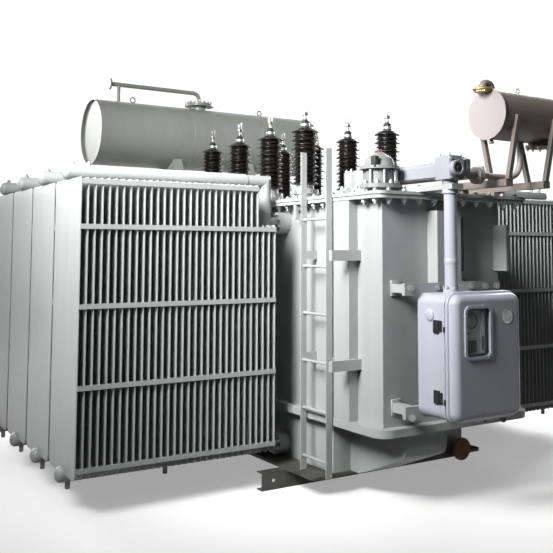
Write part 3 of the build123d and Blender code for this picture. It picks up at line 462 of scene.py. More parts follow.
def pressed_panel(top):
    """Half thickness = a thin rim that swells to the channel depth plus a cosine wave across the width; the width
    narrows over the corners, and the thickness fades where the sheets close at both ends."""
    across = np.linspace(-1, 1, 23)
    swell = np.clip((1 - np.abs(across)) / 0.05, 0, 1) ** 0.5
    half = RIM_HALF + swell * (SWELL_HALF + WAVE_HALF * np.cos(across * WAVES * np.pi))
    share = np.concatenate([across, across[::-1]])
    depth = np.concatenate([half, -half[::-1]])
    low, shoulder = PANEL_BOTTOM, PANEL_BOTTOM + LOWER_CORNER
    level = np.array([low, low, low + 0.006, shoulder, shoulder + 0.05, top - 0.08, top - 0.02, top, top])
    narrow = np.clip(LOWER_CORNER - (level - low), 0, LOWER_CORNER)
    narrow += np.clip(UPPER_CORNER - (top - level), 0, UPPER_CORNER)
    reach = (PANEL_WIDTH / 2 - narrow) * np.array([0, 1, 1, 1, 1, 1, 1, 1, 0])
    thick = np.array([0, 0.35, 0.7, 1, 1, 1, 1, 0.5, 0])
    return skin(np.stack(np.broadcast_arrays(thick[:, None] * depth, reach[:, None] * share, level[:, None]), -1))


def header(length):
    """A pipe along x from a domed cap at 0: the cap is a quarter ellipse."""
    t = np.linspace(0, np.pi / 2, 7)
    dome = np.column_stack([HEADER_RADIUS * np.sin(t), CAP_DEPTH * (1 - np.cos(t))])
    return lathe(np.vstack([dome, [[HEADER_RADIUS, length], [0, length]]]), axis="x", sides=28)


tall_panel, short_panel = pressed_panel(PANEL_TOP), pressed_panel(SHORT_TOP)
vent_nub = lathe([(0, 0), (0.016, 0), (0.016, 0.012), (0.010, 0.014), (0.009, 0.026), (0, 0.028)], sides=12)
drain_stub = lathe([(0, 0), (0.012, 0.001), (0.016, 0.006), (0.016, 0.05), (0, 0.05)], sides=14)
for side, sign in (("left", -1), ("right", 1)):
    inward = [np.diag([-sign, -sign, 1.0])]
    for number in range(1, RADIATORS + 1):
        node = f"{side}_radiator_{number}"
        low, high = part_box(node)
        outer, y = low.x if sign < 0 else high.x, middle(low, high)[1]
        x = outer - sign * FIRST_PANEL - sign * PANEL_PITCH * np.arange(PANELS)
        places = np.column_stack([x, np.full(PANELS, y), np.zeros(PANELS)])
        bank = join(
            repeat(tall_panel, places[:-SHORT_PANELS]),
            repeat(short_panel, places[-SHORT_PANELS:]),
            repeat(header(UPPER_RUN), [(outer, y, UPPER_Z)], inward),
            repeat(header(LOWER_RUN), [(outer, y, LOWER_Z)], inward),
            repeat(vent_nub, [(outer - sign * inset, y, UPPER_Z + VENT_RISE) for inset in VENT_INSETS]),
            repeat(drain_stub, [(outer - sign * inset, y, LOWER_Z - DRAIN_DROP) for inset in DRAIN_INSETS]),
        )
        piece(f"{node}_panels", bank, "radiator_paint", stands_for=[node])

# %% [markdown]
# The bushings carry the current out through the cover. Their porcelain has wide and narrow sheds in turn, which
# make a long path for rain. One formula gives the whole outline: the core radius plus, in each pitch, a steep
# underside and a long sloping back.

# %% Bushing porcelain
BUSHINGS, BUSHING_PITCH, SHED_COUNT, SHED_CORE, NARROWER = 4, 0.535, 13, 0.070, 0.015
# For each row: where its first bushing stands in x and y, and the radius of the wide sheds.
BUSHING_ROWS = {"high": (-0.320, -0.465, 0.107), "low": (0.305, -0.690, 0.102)}


def sheds(low, high, wide):
    """Radius over height: f is the share of the way through a pitch, and the tip lies at the crest, f = 0.3. The
    underside is a narrow bell before it and the back a falling power after it; wide and narrow tips take turns."""
    step, crest = 18, 0.3
    turn = np.arange(SHED_COUNT * step + 1) / step
    share = turn % 1.0
    number = np.minimum(turn.astype(int), SHED_COUNT - 1)
    tip = np.where(number % 2 == SHED_COUNT % 2, wide - NARROWER, wide)
    under = np.exp(-((share - crest) / 0.1) ** 2)
    back = np.clip(1 - (share - crest) / (1 - crest), 0, 1) ** 1.1
    radius = SHED_CORE + (tip - SHED_CORE) * np.where(share < crest, under, back)
    height = low + (high - low) * turn / SHED_COUNT
    return np.vstack([[(0, low)], np.column_stack([radius, height]), [(0, high)]])


bushing_spots = []
for row, (x, y, wide) in BUSHING_ROWS.items():
    low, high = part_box(f"{row}_row_porcelain")
    spots = [(x, y + BUSHING_PITCH * number, 0.0) for number in range(BUSHINGS)]
    bushing_spots += spots
    porcelain = repeat(lathe(sheds(low.z, high.z, wide), sides=40), spots)
    piece(f"{row}_row_sheds", porcelain, "porcelain", stands_for=[f"{row}_row_porcelain"], crease=60)

# %% [markdown]
# Bolts stand in rings, and many small things face sideways or down. One helper gives the turn from z to a direction,
# one makes copies of a shape that all stand that way, and one spreads places on a circle across it.

# %% Turned shapes and rings
LEFT, RIGHT, FRONT, UP, DOWN = (-1, 0, 0), (1, 0, 0), (0, -1, 0), (0, 0, 1), (0, 0, -1)


def facing(direction):
    """A turn whose third column is the direction, so what stood along z stands along it; the rest is square to it."""
    ahead = np.asarray(direction, float)
    side = np.roll(np.abs(ahead), 1)
    return np.column_stack([side, np.cross(ahead, side), ahead])


def stand(shape, places, direction):
    """Copies of a shape at the places, all standing along one direction."""
    places = np.asarray(places, float).reshape(-1, 3)
    return repeat(shape, places, [facing(direction)] * len(places))


def ring(count, radius, centre, direction, start=0.0):
    """Places on a circle: centre + radius * (cos, sin), in the plane square to the direction."""
    angle = start + np.arange(count) * 2 * np.pi / count
    flat = radius * np.column_stack([np.cos(angle), np.sin(angle), 0 * angle])
    return np.asarray(centre, float) + flat @ facing(direction).T


print("turns and rings ready")

# %% [markdown]
# On top of each bushing sit a cast ring between black seals, and a stud with a two-finger palm. At its foot a circle
# of clamp nuts holds the porcelain down on its turret.

# %% Bushing fittings
CHAMFER, CLAMPS, CLAMP_RING, CLAMP_REST = 0.0015, 6, 0.100, 0.0205


def hexagon(across_flats):
    """Six corners round the origin, for nuts and bolt heads."""
    angle = np.arange(6) * np.pi / 3
    return across_flats / math.sqrt(3) * np.column_stack([np.cos(angle), np.sin(angle)])


def nut(across_flats, low, high):
    """A hexagon with slightly chamfered ends."""
    edge = 0.08 * (high - low)
    return slab(hexagon(across_flats), [low, low, low + edge, high - edge, high, high], [1, 0.08, 0, 0, 0.08, 1])


def plate(width, depth, height, corner, centre):
    """An upright block with rounded corners and a small chamfer at both ends."""
    edge = min(CHAMFER, height / 5)
    levels = np.array([0, 0, edge, height - edge, height, height]) - height / 2
    return slab(rounded(width, depth, corner, 4), levels, [1, 0.03, 0, 0, 0.03, 1], centre=centre)


spots = np.array(bushing_spots)
tops = spots + [0, 0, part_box("high_row_terminals")[0].z]
washer = lathe([(0, 0), (0.046, 0), (0.046, 0.006), (0.030, 0.012), (0.030, 0.018), (0, 0.018)], sides=28)
seal_top = lathe([(0, 0.064), (0.020, 0.064), (0.018, 0.076), (0, 0.076)], sides=20)
piece("bushing_seal_nuts", repeat(join(washer, nut(0.056, 0.042, 0.064), seal_top), tops), "rubber")
cap_ring = lathe([(0, 0.018), (0.033, 0.018), (0.035, 0.021), (0.035, 0.039), (0.033, 0.042), (0, 0.042)], sides=28)
piece("bushing_cap_rings", repeat(cap_ring, tops), "bare_aluminium")
stud = lathe([(0, 0.07), (0.012, 0.07), (0.012, 0.118), (0, 0.118)], sides=16)
palm = join(plate(0.036, 0.034, 0.022, 0.008, (0, 0, 0.118)),
            plate(0.007, 0.030, 0.048, 0.003, (-0.013, 0, 0.148)),
            plate(0.007, 0.030, 0.064, 0.003, (0.013, 0, 0.156)))
piece("terminal_studs", repeat(join(stud, palm), tops), "terminal_metal",
      stands_for=["high_row_terminals", "low_row_terminals"])
clamp_circle = ring(CLAMPS, CLAMP_RING, (0, 0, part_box("high_row_turrets")[0].z + CLAMP_REST), UP)
clamp = join(nut(0.024, 0.0, 0.014), lathe([(0, 0.014), (0.007, 0.014), (0.007, 0.034), (0, 0.034)], sides=8))
piece("turret_nuts", repeat(clamp, spots[:, None] + clamp_circle), "bolt_zinc")

# %% [markdown]
# The cover is bolted to the bell along its rim. Small heads stand in a row on top, and larger nuts with a bit of thread
# hang below. Where a stiffener stands on the wall there is no room for a nut under the rim, so those places are left
# out. The lower rim is welded, so its edge stays clean.

# %% Rim bolts
RIM_THICKNESS, RIM_X, RIM_Y, BOLT_PITCH, WASHER_HEIGHT = 0.024, 0.612, 1.792, 0.117, 0.004
STIFFENER_YS, STIFFENER_ROOM = np.array([-1.393, -0.3145, 0.2515, 1.598]), 0.125


def fastener(across_flats, thread):
    """A washer, a hexagon nut half as high as it is wide and a thread end, standing up from the origin."""
    washer, shank = 0.6 * across_flats, 0.28 * across_flats
    return join(
        lathe([(0, 0), (washer, 0), (washer, WASHER_HEIGHT), (0, WASHER_HEIGHT)], sides=14),
        nut(across_flats, WASHER_HEIGHT, WASHER_HEIGHT + 0.5 * across_flats),
        lathe([(0, 0.01), (shank, 0.01), (shank, thread + 0.012), (0, thread + 0.014)], sides=8),
    )


def rim(half_x, half_y, pitch):
    """Places along a rectangle at height 0, spread evenly on each side with half a pitch left at the corners."""
    def side(half):
        count = round(2 * half / pitch)
        return (np.arange(count) + 0.5) * 2 * half / count - half
    ends = [(x, sign * half_y, 0.0) for sign in (-1, 1) for x in side(half_x)]
    flanks = [(sign * half_x, y, 0.0) for sign in (-1, 1) for y in side(half_y)]
    return np.array(ends + flanks)


cover_low, cover_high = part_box("tank_cover")
rim_spots = rim(RIM_X, RIM_Y, BOLT_PITCH)
blocked = (np.abs(rim_spots[:, :1]) >= RIM_X) & (np.abs(rim_spots[:, 1:2] - STIFFENER_YS) < STIFFENER_ROOM)
nut_spots = rim_spots[~blocked.any(1)] + [0, 0, cover_low.z - RIM_THICKNESS]
piece("cover_bolt_heads", repeat(fastener(0.026, 0.010), rim_spots + [0, 0, cover_high.z]), "tank_paint")
piece("cover_bolt_nuts", stand(fastener(0.036, 0.024), nut_spots, DOWN), "bolt_zinc")

# %% [markdown]
# The lower tank is a tray with a wide rim. Under the tap changer it bulges out into a pocket, whose floor slopes up
# to a round lower corner at the front. The solid has this pocket too wide, so this piece stands for it.

# %% Lower tank
tray_low, tray_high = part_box("lower_tank")
TRAY_HALF, TRAY_FRONT, TRAY_REAR, TRAY_CORNER, RIM_CORNER = 0.570, -1.212, 1.712, 0.004, 0.110
POCKET_LEFT, POCKET_RIGHT, POCKET_FRONT, POCKET_CORNER = -0.430, -0.095, -1.790, 0.060
CREASE_Y, POCKET_RISE = -1.307, 0.190
rim_low = tray_high.z - RIM_THICKNESS


def block(width, depth, low, high, corner, centre):
    """An upright block on a rectangle with round corners, closed at both ends."""
    return slab(rounded(width, depth, corner), [low, low, high, high], [1, 0, 0, 1], centre=centre)


def pocket():
    """Side view = the tray floor as far as the crease, a straight rise, a round corner and an upright front; the
    side view is pulled across from the left wall to the right one."""
    front = bent([(CREASE_Y, tray_low.z), (POCKET_FRONT, tray_low.z + POCKET_RISE), (POCKET_FRONT, rim_low)],
                 POCKET_CORNER)
    outline = np.vstack([[(TRAY_FRONT, tray_low.z)], front, [(TRAY_FRONT, rim_low)]])
    return slab(outline, [POCKET_LEFT, POCKET_LEFT, POCKET_RIGHT, POCKET_RIGHT], [1, 0, 0, 1], "x")


tray_middle = (TRAY_FRONT + TRAY_REAR) / 2
lower_tank = join(
    block(2 * TRAY_HALF, TRAY_REAR - TRAY_FRONT, tray_low.z, rim_low, TRAY_CORNER, (0, tray_middle, 0)),
    block(tray_high.x - tray_low.x, tray_high.y - tray_low.y, rim_low, tray_high.z, RIM_CORNER, (0, 0, 0)),
    pocket(),
)
piece("lower_tank_and_pocket", lower_tank, "tank_paint", stands_for=["lower_tank"])
drain_low, drain_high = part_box("drain_valve")
drain_x, _, drain_z = middle(drain_low, drain_high)
drain_cover = lathe([(0, -0.006), (0.030, -0.006), (0.034, -0.004), (0.076, -0.004), (0.079, -0.001), (0.079, 0.018),
                     (0, 0.018)], (drain_x, drain_low.y, drain_z), "y", 40)
piece("drain_cover", drain_cover, "drain_paint")

# %% [markdown]
# The drive cabinet is two deep shells that meet at a raised lip with a rubber seal between them. The lip hides the
# raw sheet edge and keeps rain out, and it is the line that makes the door readable. Lips and seal are hoops: a small
# section carried round a rectangle with round corners. A plain round badge, a side cap, screws and hinge covers follow.

# %% Cabinet lips, seal and side fittings
body_low, body_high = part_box("cabinet_body")
middle_x, _, middle_z = middle(body_low, body_high)
size_x, size_z = body_high.x - body_low.x, body_high.z - body_low.z
CORNER_RADIUS, DOOR_GAP = 0.060, 0.005
LIP = np.array([(-0.003, 0.0), (0.010, 0.0), (0.013, 0.003), (0.014, 0.010), (0.013, 0.016), (0.009, 0.020),
                (-0.003, 0.022)])
SEAL = [(-0.014, 0.0), (-0.004, 0.0), (-0.005, -0.003), (-0.009, -0.004), (-0.013, -0.003)]
BADGE_X, BADGE_Z, CAP_Y, CAP_Z = -0.044, 1.208, -2.063, 1.219
SCREW_FORWARD, SCREW_ZS = 0.017, (0.761, 1.210)
COVER_OUT, COVER_BACK, COVER_INSET = 0.006, 0.078, 0.036


def hoop(section):
    """A closed section of (outward, along) pairs carried round the cabinet's seam: each pair is one rounded outline,
    grown by the first value and set along y by the second."""
    first, second, along_y = AXES["y"]
    rows = [rounded(size_z + 2 * out, size_x + 2 * out, CORNER_RADIUS + out) @ [first, second] + along * along_y
            for out, along in [*section, section[0]]]
    return skin(np.stack(rows) + [middle_x, body_low.y, middle_z])


piece("cabinet_lip", hoop(LIP), "cabinet_paint")
piece("door_lip", hoop(LIP * [1, -1] - [0, DOOR_GAP]), "cabinet_paint", body="door")
piece("door_seal", hoop(SEAL), "rubber")
badge = lathe([(0, 0), (0.042, 0), (0.042, -0.0015), (0.040, -0.003), (0.034, -0.003), (0.033, -0.0022),
               (0, -0.0022)], (BADGE_X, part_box("window_frame")[1].y, BADGE_Z), "y", 40)
piece("bare_badge", badge, "bare_aluminium", body="door")
cap = lathe([(0, 0), (0.036, 0), (0.036, -0.007), (0.030, -0.012), (0.012, -0.013), (0, -0.013)],
            (body_low.x, CAP_Y, CAP_Z), "x")
piece("side_cap", cap, "cabinet_paint")
screw = lathe([(0, 0), (0.009, 0), (0.009, 0.003), (0.006, 0.005), (0.0025, 0.005), (0.0025, 0.003), (0, 0.003)],
              sides=16)
screw_places = [(body_low.x, body_low.y - SCREW_FORWARD, z) for z in SCREW_ZS]
piece("door_screws", stand(screw, screw_places, LEFT), "bolt_zinc", body="door")
leaf_low, leaf_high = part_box("hinge_leaves")
hinge_cover = plate(0.014, 0.044, 0.074, 0.005, (0, 0, 0))
cover_places = [(body_low.x - COVER_OUT, body_low.y + COVER_BACK, z)
                for z in (leaf_low.z + COVER_INSET, leaf_high.z - COVER_INSET)]
piece("hinge_covers", repeat(hinge_cover, cover_places), "black_hinge")

# %% [markdown]
# Below and behind the cabinet come its cable glands, the bolts through its crossbars and the foot plates of the
# four stubs. A gland is a turned fitting: a hexagon, a collar and a tapering rubber nose.

# %% Cabinet glands, bolts and foot plates
GLAND_SPOTS = ((0.130, -2.090), (0.222, -2.160))
BAR_HALF, STUB_INSET = 0.036, 0.086
BAR_BOLT_XS, UPPER_BOLT_DROP, LOWER_BOLT_RISE = (-0.520, -0.305, -0.031, 0.091, 0.190), 0.028, 0.008
gland_nose = lathe([(0, 0.020), (0.018, 0.020), (0.020, 0.024), (0.020, 0.034), (0.013, 0.046), (0.011, 0.056),
                    (0, 0.056)], sides=20)
glands = [(middle_x + dx, y, body_low.z) for dx, y in GLAND_SPOTS]
piece("gland_nuts", stand(nut(0.044, 0.0, 0.020), glands, DOWN), "rubber")
piece("gland_noses", stand(gland_nose, glands, DOWN), "rubber")
bar_low, bar_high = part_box("cabinet_brackets")
stub_places = [(x, bar_high.y, z) for x in (bar_low.x + STUB_INSET, bar_high.x - STUB_INSET)
               for z in (bar_low.z + BAR_HALF, bar_high.z - BAR_HALF)]
foot = plate(0.072, 0.012, 0.096, 0.004, (0, -0.006, 0))
piece("stub_foot_plates", repeat(foot, stub_places), "tank_paint")
bar_bolts = [(x, bar_low.y, z) for x in BAR_BOLT_XS
             for z in (bar_high.z - UPPER_BOLT_DROP, bar_low.z + LOWER_BOLT_RISE)]
piece("cabinet_bolts", stand(fastener(0.034, 0.018), bar_bolts, FRONT), "bolt_zinc")

# %% [markdown]
# Through the window shows the front of the position indicator: a round dial, a step with a counter below it and a
# pale scale with a dark slot. Its housing stands on the plate that the CAD model puts inside the cabinet and reaches
# forward into the door, so that it can be read from outside and stays behind when the door opens.

# %% Position indicator behind the window
window_low, window_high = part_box("window_glass")
window_x, _, window_z = middle(window_low, window_high)
HOUSING_WIDTH, HOUSING_HEIGHT, GLASS_GAP = 0.164, 0.256, 0.016
housing_front = window_high.y + GLASS_GAP
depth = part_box("instrument_plate")[0].y - housing_front
housing = plate(HOUSING_WIDTH, depth, HOUSING_HEIGHT, 0.006, (window_x, housing_front + depth / 2, window_z))
piece("indicator_housing", housing, "indicator_grey")


def on_front(width, height, thickness, x, z):
    """A small block on the housing's front, placed from the window's middle."""
    return plate(width, thickness, height, 0.002, (window_x + x, housing_front - thickness / 2, window_z + z))


dial_centre = (window_x - 0.028, housing_front, window_z + 0.066)
dial_rim = lathe([(0.040, 0), (0.046, 0), (0.046, -0.004), (0.043, -0.006), (0.040, -0.004), (0.040, 0)],
                 dial_centre, "y", 40)
tick = plate(0.0016, 0.0014, 0.008, 0.0004, (0, 0, 0))
ticks = stand(tick, ring(12, 0.033, np.add(dial_centre, (0, -0.0020, 0)), FRONT), UP)
needle = repeat(plate(0.003, 0.0014, 0.036, 0.001, (0, 0, 0.012)), [np.add(dial_centre, (0, -0.0030, 0))])
scale_slot = on_front(0.016, 0.080, 0.0050, 0.056, -0.066)
key = on_front(0.018, 0.012, 0.0060, -0.060, -0.004)
piece("dial_and_slot", join(dial_rim, ticks, needle, scale_slot, key), "rubber")
face = lathe([(0, 0), (0.0395, 0), (0.0395, -0.0012), (0, -0.0012)], dial_centre, "y", 40)
scale = on_front(0.030, 0.236, 0.0040, 0.056, 0.0)
step = on_front(0.100, 0.012, 0.0100, -0.026, -0.034)
piece("dial_face_and_scale", join(face, scale, step), "plate_white")
piece("counter", on_front(0.084, 0.068, 0.0050, -0.034, -0.082), "dark_inside")

# %% [markdown]
# The bevel gearbox turns the drive through a right angle. Its front has a round bearing cover with a dark centre, a
# lid and a side cover close it, its corners are bolted, and below it a clamp ring joins two lengths of drive tube.

# %% Gearbox and drive details
GEAR_HALF, BOSS_LEFT, BOSS_DEPTH, LID_THICKNESS = 0.068, 0.020, 0.026, 0.010
FACE_BOLTS, LID_BOLTS = (-0.057, 0.057), (-0.044, 0.044)
CLAMP_Z, COLLAR_RING, COLLAR_RISE = 1.530, 0.0445, 0.024
gear_low, gear_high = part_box("bevel_gearbox")
gear_x, gear_z = middle(gear_low, gear_high)[0], gear_high.z - GEAR_HALF
boss = (gear_x - BOSS_LEFT, gear_low.y, gear_z)
bearing_rim = lathe([(0.030, 0), (0.046, 0), (0.046, -0.005), (0.044, -0.007), (0.032, -0.007), (0.030, -0.004),
                     (0.030, 0)], boss, "y", 40)
piece("gearbox_bearing_rim", bearing_rim, "drive_paint", "cabinet_paint")
centre = lathe([(0, 0), (0.029, 0), (0.027, -0.004), (0.012, -0.004), (0.010, -0.008), (0, -0.008)], boss, "y")
piece("gearbox_centre", centre, "rubber")
box_front = gear_low.y + BOSS_DEPTH
box_middle, lid_top = box_front + GEAR_HALF, gear_high.z + LID_THICKNESS
lid = plate(0.112, 0.112, LID_THICKNESS, 0.012, (gear_x, box_middle, gear_high.z + LID_THICKNESS / 2))
side_cover = plate(0.052, 0.124, 0.124, 0.010, (gear_high.x + 0.024, box_middle, gear_z))
piece("gearbox_lid", join(lid, side_cover), "drive_paint", "cabinet_paint")
tube_low, tube_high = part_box("drive_tube")
tube_x, tube_y, _ = middle(tube_low, tube_high)
tube_clamp = lathe([(0.039, -0.016), (0.0405, -0.016), (0.042, -0.013), (0.042, 0.013), (0.0405, 0.016),
                    (0.039, 0.016), (0.039, -0.016)], (tube_x, tube_y, CLAMP_Z), sides=36)
piece("drive_tube_clamp", tube_clamp, "cabinet_paint")
tiny_bolt = fastener(0.015, 0.006)
drive_bolts = join(
    stand(tiny_bolt, [(gear_x + dx, box_front, gear_z + dz) for dx in FACE_BOLTS for dz in FACE_BOLTS], FRONT),
    stand(tiny_bolt, [(gear_x + dx, box_middle + dy, lid_top) for dx in LID_BOLTS for dy in LID_BOLTS], UP),
    stand(tiny_bolt, ring(6, COLLAR_RING, (tube_x, tube_y, tube_low.z + COLLAR_RISE), UP, 0.3), UP),
)
piece("drive_bolts", drive_bolts, "bolt_zinc")

# %% [markdown]
# The pressure relief device stands on a bolted flange. Short pillars carry its brim, and a thin black ring under the
# brim is painted shade for its dark underside. A red pin on the dome rises when the valve has blown. A small switch box
# sits at its side.

# %% Pressure relief details
relief_low, relief_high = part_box("pressure_relief")
relief = np.array([*middle(relief_low, relief_high)[:2], relief_low.z])
FLANGE_TOP, BRIM_BOTTOM, PILLAR_RING = 0.056, 0.150, 0.114
seat, reach = relief + [0, 0, FLANGE_TOP], BRIM_BOTTOM - FLANGE_TOP
pillar = lathe([(0, 0), (0.009, 0), (0.009, reach), (0, reach)], sides=12)
pillars = repeat(pillar, ring(8, PILLAR_RING, seat, UP, np.pi / 8))
seat_bolts = repeat(fastener(0.024, 0.014), ring(8, PILLAR_RING, seat, UP))
piece("relief_pillars", join(pillars, seat_bolts), "bolt_zinc")
# A thin black wedge under the brim, in the rubber finish: painted shade for the brim's dark underside.
painted_shadow_ring = lathe([(0.1002, 0.140), (0.126, 0.1465), (0.1285, 0.1495), (0.1002, 0.1498), (0.1002, 0.140)], relief,
                   sides=44)
piece("relief_painted_shadow_ring", painted_shadow_ring, "rubber")
pin = lathe([(0, 0), (0.021, 0), (0.021, 0.006), (0.013, 0.010), (0.013, 0.018), (0.008, 0.022), (0, 0.022)], sides=20)
piece("relief_pin", repeat(pin, [relief + [0, 0, relief_high.z - relief_low.z]]), "red_cap")
switch = join(plate(0.036, 0.046, 0.070, 0.006, relief + [-0.086, -0.064, 0.192]),
              plate(0.030, 0.020, 0.016, 0.003, relief + [-0.070, -0.052, 0.172]))
piece("relief_switch", switch, "rubber")

# %% [markdown]
# Round flanges are held by rings of bolts: the tap-changer head, the manhole and the radiator valves. One bolt shape
# is copied round each ring, turned to stand out of its flange. The head and the manhole also get their lids here.

# %% Flange bolts
HEAD_RADIUS, HEAD_FLANGE, HEAD_BODY_TOP = 0.240, 0.050, 0.165
VALVE_FACE, VALVE_RING, NECK_Z = 0.658, 0.064, 1.795
small_bolt = fastener(0.022, 0.012)
head_low, head_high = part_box("tap_changer_head")
head = np.array([middle(head_low, head_high)[0], head_high.y - HEAD_RADIUS, head_low.z])
flange_top, head_top = head + [0, 0, HEAD_FLANGE], head + [0, 0, HEAD_BODY_TOP]
manhole_low, manhole_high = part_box("conservator_manhole")
manhole = (*middle(manhole_low, manhole_high)[:2], manhole_high.z)
# For each upright ring: how many bolts, at what radius, and the middle of the ring.
upright_rings = ((16, 0.222, flange_top), (12, 0.184, head_top), (16, 0.126, manhole))
upright_bolts = [repeat(small_bolt, ring(*row, UP)) for row in upright_rings]
radiator_ys = [middle(*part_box(f"left_radiator_{number}"))[1] for number in range(1, RADIATORS + 1)]
valve_bolts = [
    stand(small_bolt, ring(8, VALVE_RING, (sign * VALVE_FACE, y, z), side, np.pi / 8), side)
    for sign, side in ((-1, LEFT), (1, RIGHT)) for y in radiator_ys for z in (NECK_Z, LOWER_Z)
]
piece("flange_bolts", join(*upright_bolts, *valve_bolts), "bolt_zinc")
manhole_lid = lathe([(0, -0.030), (0.143, -0.030), (0.146, -0.027), (0.146, -0.017), (0.143, -0.015), (0.146, -0.013),
                     (0.146, -0.003), (0.143, 0.0003), (0, 0.0003)], manhole, sides=48)
piece("manhole_lid", manhole_lid, "conservator_paint")
head_lid = lathe([(0, 0), (0.166, 0), (0.166, 0.008), (0.150, 0.016), (0.060, 0.022), (0, 0.022)], head_top, sides=48)
piece("head_lid", head_lid, "bare_aluminium")

# %% [markdown]
# The main conservator is rolled from three lengths of plate, so two welds run round it, and it is lifted by two eyes.
# An eye is a ring that stands in a small foot.

# %% Conservator welds and eyes
WELD_SIZE, WELD_XS, EYE_SIZE, EYE_XS = 0.0035, (-0.253, 0.520), 0.025, (-0.792, 0.637)


def bead(radius, size, centre, axis):
    """A round weld or ring about an axis: a circle of the given size carried round at the radius."""
    angle = np.linspace(0, 2 * np.pi, 11)
    profile = np.column_stack([radius + size * np.cos(angle), size * np.sin(angle)])
    return lathe(profile, centre, axis, sides=48)


def lifting_eye(size):
    """A ring in the xz plane over a tapered foot: the ring's middle stands 1.3 sizes up."""
    return join(bead(size, 0.26 * size, (0, 0, 1.3 * size), "y"),
                lathe(size * np.array([(0, -0.1), (0.55, -0.1), (0.5, 0.12), (0.26, 0.3), (0, 0.3)]), sides=20))


shell_low, shell_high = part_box("conservator_shell")
_, shell_y, shell_z = middle(shell_low, shell_high)
shell_radius = (shell_high.z - shell_low.z) / 2
weld_points, *weld_faces = join(*[bead(shell_radius, WELD_SIZE, (x, shell_y, shell_z), "x") for x in WELD_XS])
# The back of the shell is the end of the whole object, so the weld is pressed flat there.
weld_points[:, 1] = np.minimum(weld_points[:, 1], shell_high.y)
piece("conservator_welds", (weld_points, *weld_faces), "conservator_paint")
eyes = repeat(lifting_eye(EYE_SIZE), [(x, shell_y, shell_high.z) for x in EYE_XS])
piece("conservator_eyes", eyes, "conservator_paint")

# %% [markdown]
# The small conservator breathes through a bent pipe that ends in a brass filter disc. It also has an eye on top, a
# drain plug, and a bolted sump below. Its oil pipe comes from the tap changer through a flanged valve.

# %% Small conservator fittings
SWAN_RADIUS, SWAN_BEND, NECK_INSET, NOSE_REACH, BEND_RISE = 0.025, 0.036, 0.034, 0.040, 0.038
SMALL_EYE, SMALL_EYE_X, SUMP_X, SUMP_RING, SUMP_RIM, PLUG_INSET = 0.015, 0.309, 0.500, 0.079, 0.024, 0.030
OIL_RADIUS, OIL_INSET, OIL_BEND, OIL_RISE_BEND, FLANGE_X = 0.020, 0.030, 0.060, 0.130, -0.065
tank_low, tank_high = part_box("small_conservator")
small_y, top, bottom = middle(tank_low, tank_high)[1], tank_high.z, tank_low.z
neck_x, nose_x, bend_z = tank_low.x + NECK_INSET, tank_low.x - NOSE_REACH, top + BEND_RISE
nose = (nose_x, small_y, top)
swan = bent([(neck_x, small_y, top - 0.012), (neck_x, small_y, bend_z), (nose_x, small_y, bend_z),
             (nose_x, small_y, top + 0.006)], SWAN_BEND, 13)
piece("breather_pipe", pipe(swan, SWAN_RADIUS, (0, 1, 0)), "small_conservator_paint")
disc = join(lathe([(0, 0.010), (0.034, 0.010), (0.058, 0.006), (0.062, 0.002), (0.062, -0.007), (0.058, -0.010),
                   (0, -0.010)], nose, sides=44),
            repeat(nut(0.092, -0.022, -0.010), [nose]))
piece("breather_disc", disc, "brass")
piece("small_conservator_eye", repeat(lifting_eye(SMALL_EYE), [(SMALL_EYE_X, small_y, top)]), "bare_aluminium")
sump = join(lathe([(0, 0.030), (0.070, 0.030), (0.070, -0.010), (0.088, -0.010), (0.088, -SUMP_RIM), (0.070, -0.030),
                   (0, -0.036)], (SUMP_X, small_y, bottom), sides=40),
            lathe([(0, 0.012), (0.012, 0.012), (0.012, -0.014), (0.016, -0.014), (0.016, -0.028), (0, -0.028)],
                  (tank_low.x + PLUG_INSET, small_y, bottom), sides=16))
piece("small_conservator_sump", sump, "small_conservator_paint")
inlet_low, inlet_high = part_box("small_conservator_pipe")
pipe_z, source_x, inlet_x = inlet_low.z + OIL_INSET, inlet_low.x + OIL_INSET, inlet_high.x - OIL_INSET
run = bent([(source_x, inlet_high.y, pipe_z), (source_x, small_y, pipe_z), (inlet_x, small_y, pipe_z)], OIL_BEND)
rise = bent([(FLANGE_X, small_y, pipe_z), (inlet_x, small_y, pipe_z), (inlet_x, small_y, bottom + 0.020)],
            OIL_RISE_BEND, 13)
flange = lathe([(0, -0.024), (0.052, -0.024), (0.055, -0.021), (0.055, -0.004), (0.050, -0.002), (0.050, 0.002),
                (0.055, 0.004), (0.055, 0.021), (0.052, 0.024), (0, 0.024)], (FLANGE_X, small_y, pipe_z), "x", 40)
valve_box = plate(0.050, 0.070, 0.074, 0.006, (FLANGE_X + 0.054, small_y + 0.050, pipe_z + 0.024))
oil_pipe = join(pipe(run[:-1], OIL_RADIUS, (0, 0, 1)), pipe(rise, OIL_RADIUS, (0, 1, 0)), flange, valve_box)
piece("oil_pipe", oil_pipe, "small_end_paint", stands_for=["small_conservator_pipe"])
sump_places = ring(10, SUMP_RING, (SUMP_X, small_y, bottom - SUMP_RIM), DOWN)
piece("sump_bolts", stand(tiny_bolt, sump_places, DOWN), "bolt_zinc")

# %% [markdown]
# Soft light falls from high on the left, as if through tall windows: faces that look left are almost white, faces
# that look at the camera are mid grey and the gaps between the panels are dark. One broad source gives that, with a
# weak fill in front and two sources behind for the other views. The floor is plain and pale, and a backdrop glows.

# %% Floor, backdrop and light
STAGE_HALF, WALL_DISTANCE, WALL_HEIGHT, WHITE = 40, 26, 30, (1.0, 1.0, 1.0, 1.0)


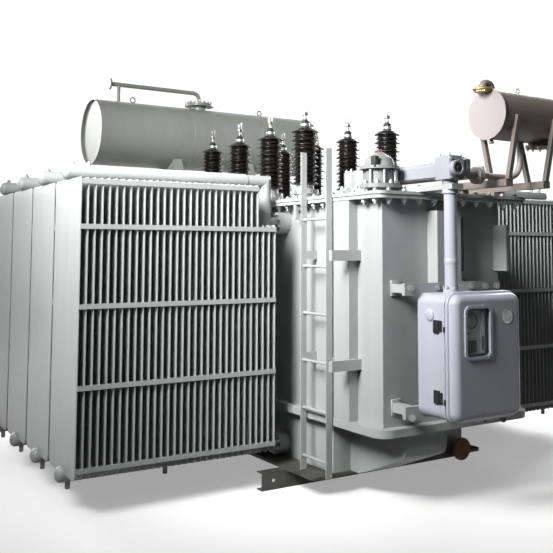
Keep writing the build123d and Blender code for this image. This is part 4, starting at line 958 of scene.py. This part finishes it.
def stage_sheet(name, corners, colour, glow):
    """A flat sheet of the studio: four corners, an even colour and an even glow."""
    mesh = bpy.data.meshes.new(name)
    mesh.from_pydata(corners, [], [(0, 1, 2, 3)])
    finish, shader, _ = new_finish(name)
    feed(shader, Base_Color=colour, Roughness=0.8, Emission_Color=WHITE, Emission_Strength=glow)
    mesh.materials.append(finish)
    sheet = bpy.data.objects.new(name, mesh)
    bpy.context.scene.collection.objects.link(sheet)
    sheet.visible_diffuse = False


floor = [(STAGE_HALF * x, STAGE_HALF * y, 0) for x, y in ((-1, -1), (1, -1), (1, 1), (-1, 1))]
stage_sheet("floor", floor, (0.72, 0.72, 0.715, 1.0), 0.35)
level = np.array([math.sin(yaw), math.cos(yaw), 0.0])
sideways = np.array([math.cos(yaw), -math.sin(yaw), 0.0])
wall = [tuple(WALL_DISTANCE * level + STAGE_HALF * x * sideways + [0, 0, WALL_HEIGHT * z])
        for x, z in ((-1, 0), (1, 0), (1, 1), (-1, 1))]
stage_sheet("backdrop", wall, (0.0, 0.0, 0.0, 1.0), 1.05)


def soft_light(name, place, target, size, power, spread=180):
    """A square area light at place, turned to face target; its beam fades out over the spread, in degrees."""
    data = bpy.data.lights.new(name, "AREA")
    data.size, data.energy, data.spread = size, power, math.radians(spread)
    made = bpy.data.objects.new(name, data)
    look(made, place, np.subtract(target, place))
    made.visible_camera = False


soft_light("windows", (-4.3, -2.4, 4.2), (-0.9, -0.9, 2.5), 2.0, 168, 74)
soft_light("front_fill", (-1.2, -5.4, 7.8), (-0.3, -1.5, 1.2), 3.2, 50)
soft_light("back_right", (7.0, 3.5, 5.0), (0.8, 0.5, 1.3), 4.0, 700)
soft_light("back_left", (-4.5, 7.5, 5.0), (-0.5, 1.5, 1.5), 4.0, 420)
world = bpy.data.worlds.new("studio")
world.use_nodes = True
feed(world.node_tree.nodes["Background"], Color=WHITE, Strength=0.03)
bpy.context.scene.world = world
bpy.context.scene.view_settings.view_transform = "Standard"
print("light: windows, front fill, two from behind and a pale surround")

# %% [markdown]
# Every solid that still shows takes the finish of its slot in the record, which lists one slot for each node. Three
# nodes are a little darker than the rest of their slot, so they have a finish of their own.

# %% Finishes of the solids
OWN_FINISH = {"bevel_gearbox": "drive_paint", "shaft_guard": "drive_paint", "pressure_relief": "cast_grey"}
for name, solid in nodes.items():
    solid.data.materials.clear()
    solid.data.materials.append(finishes[OWN_FINISH.get(name, slot_of[name])])
print("finished", len(nodes), "solids")
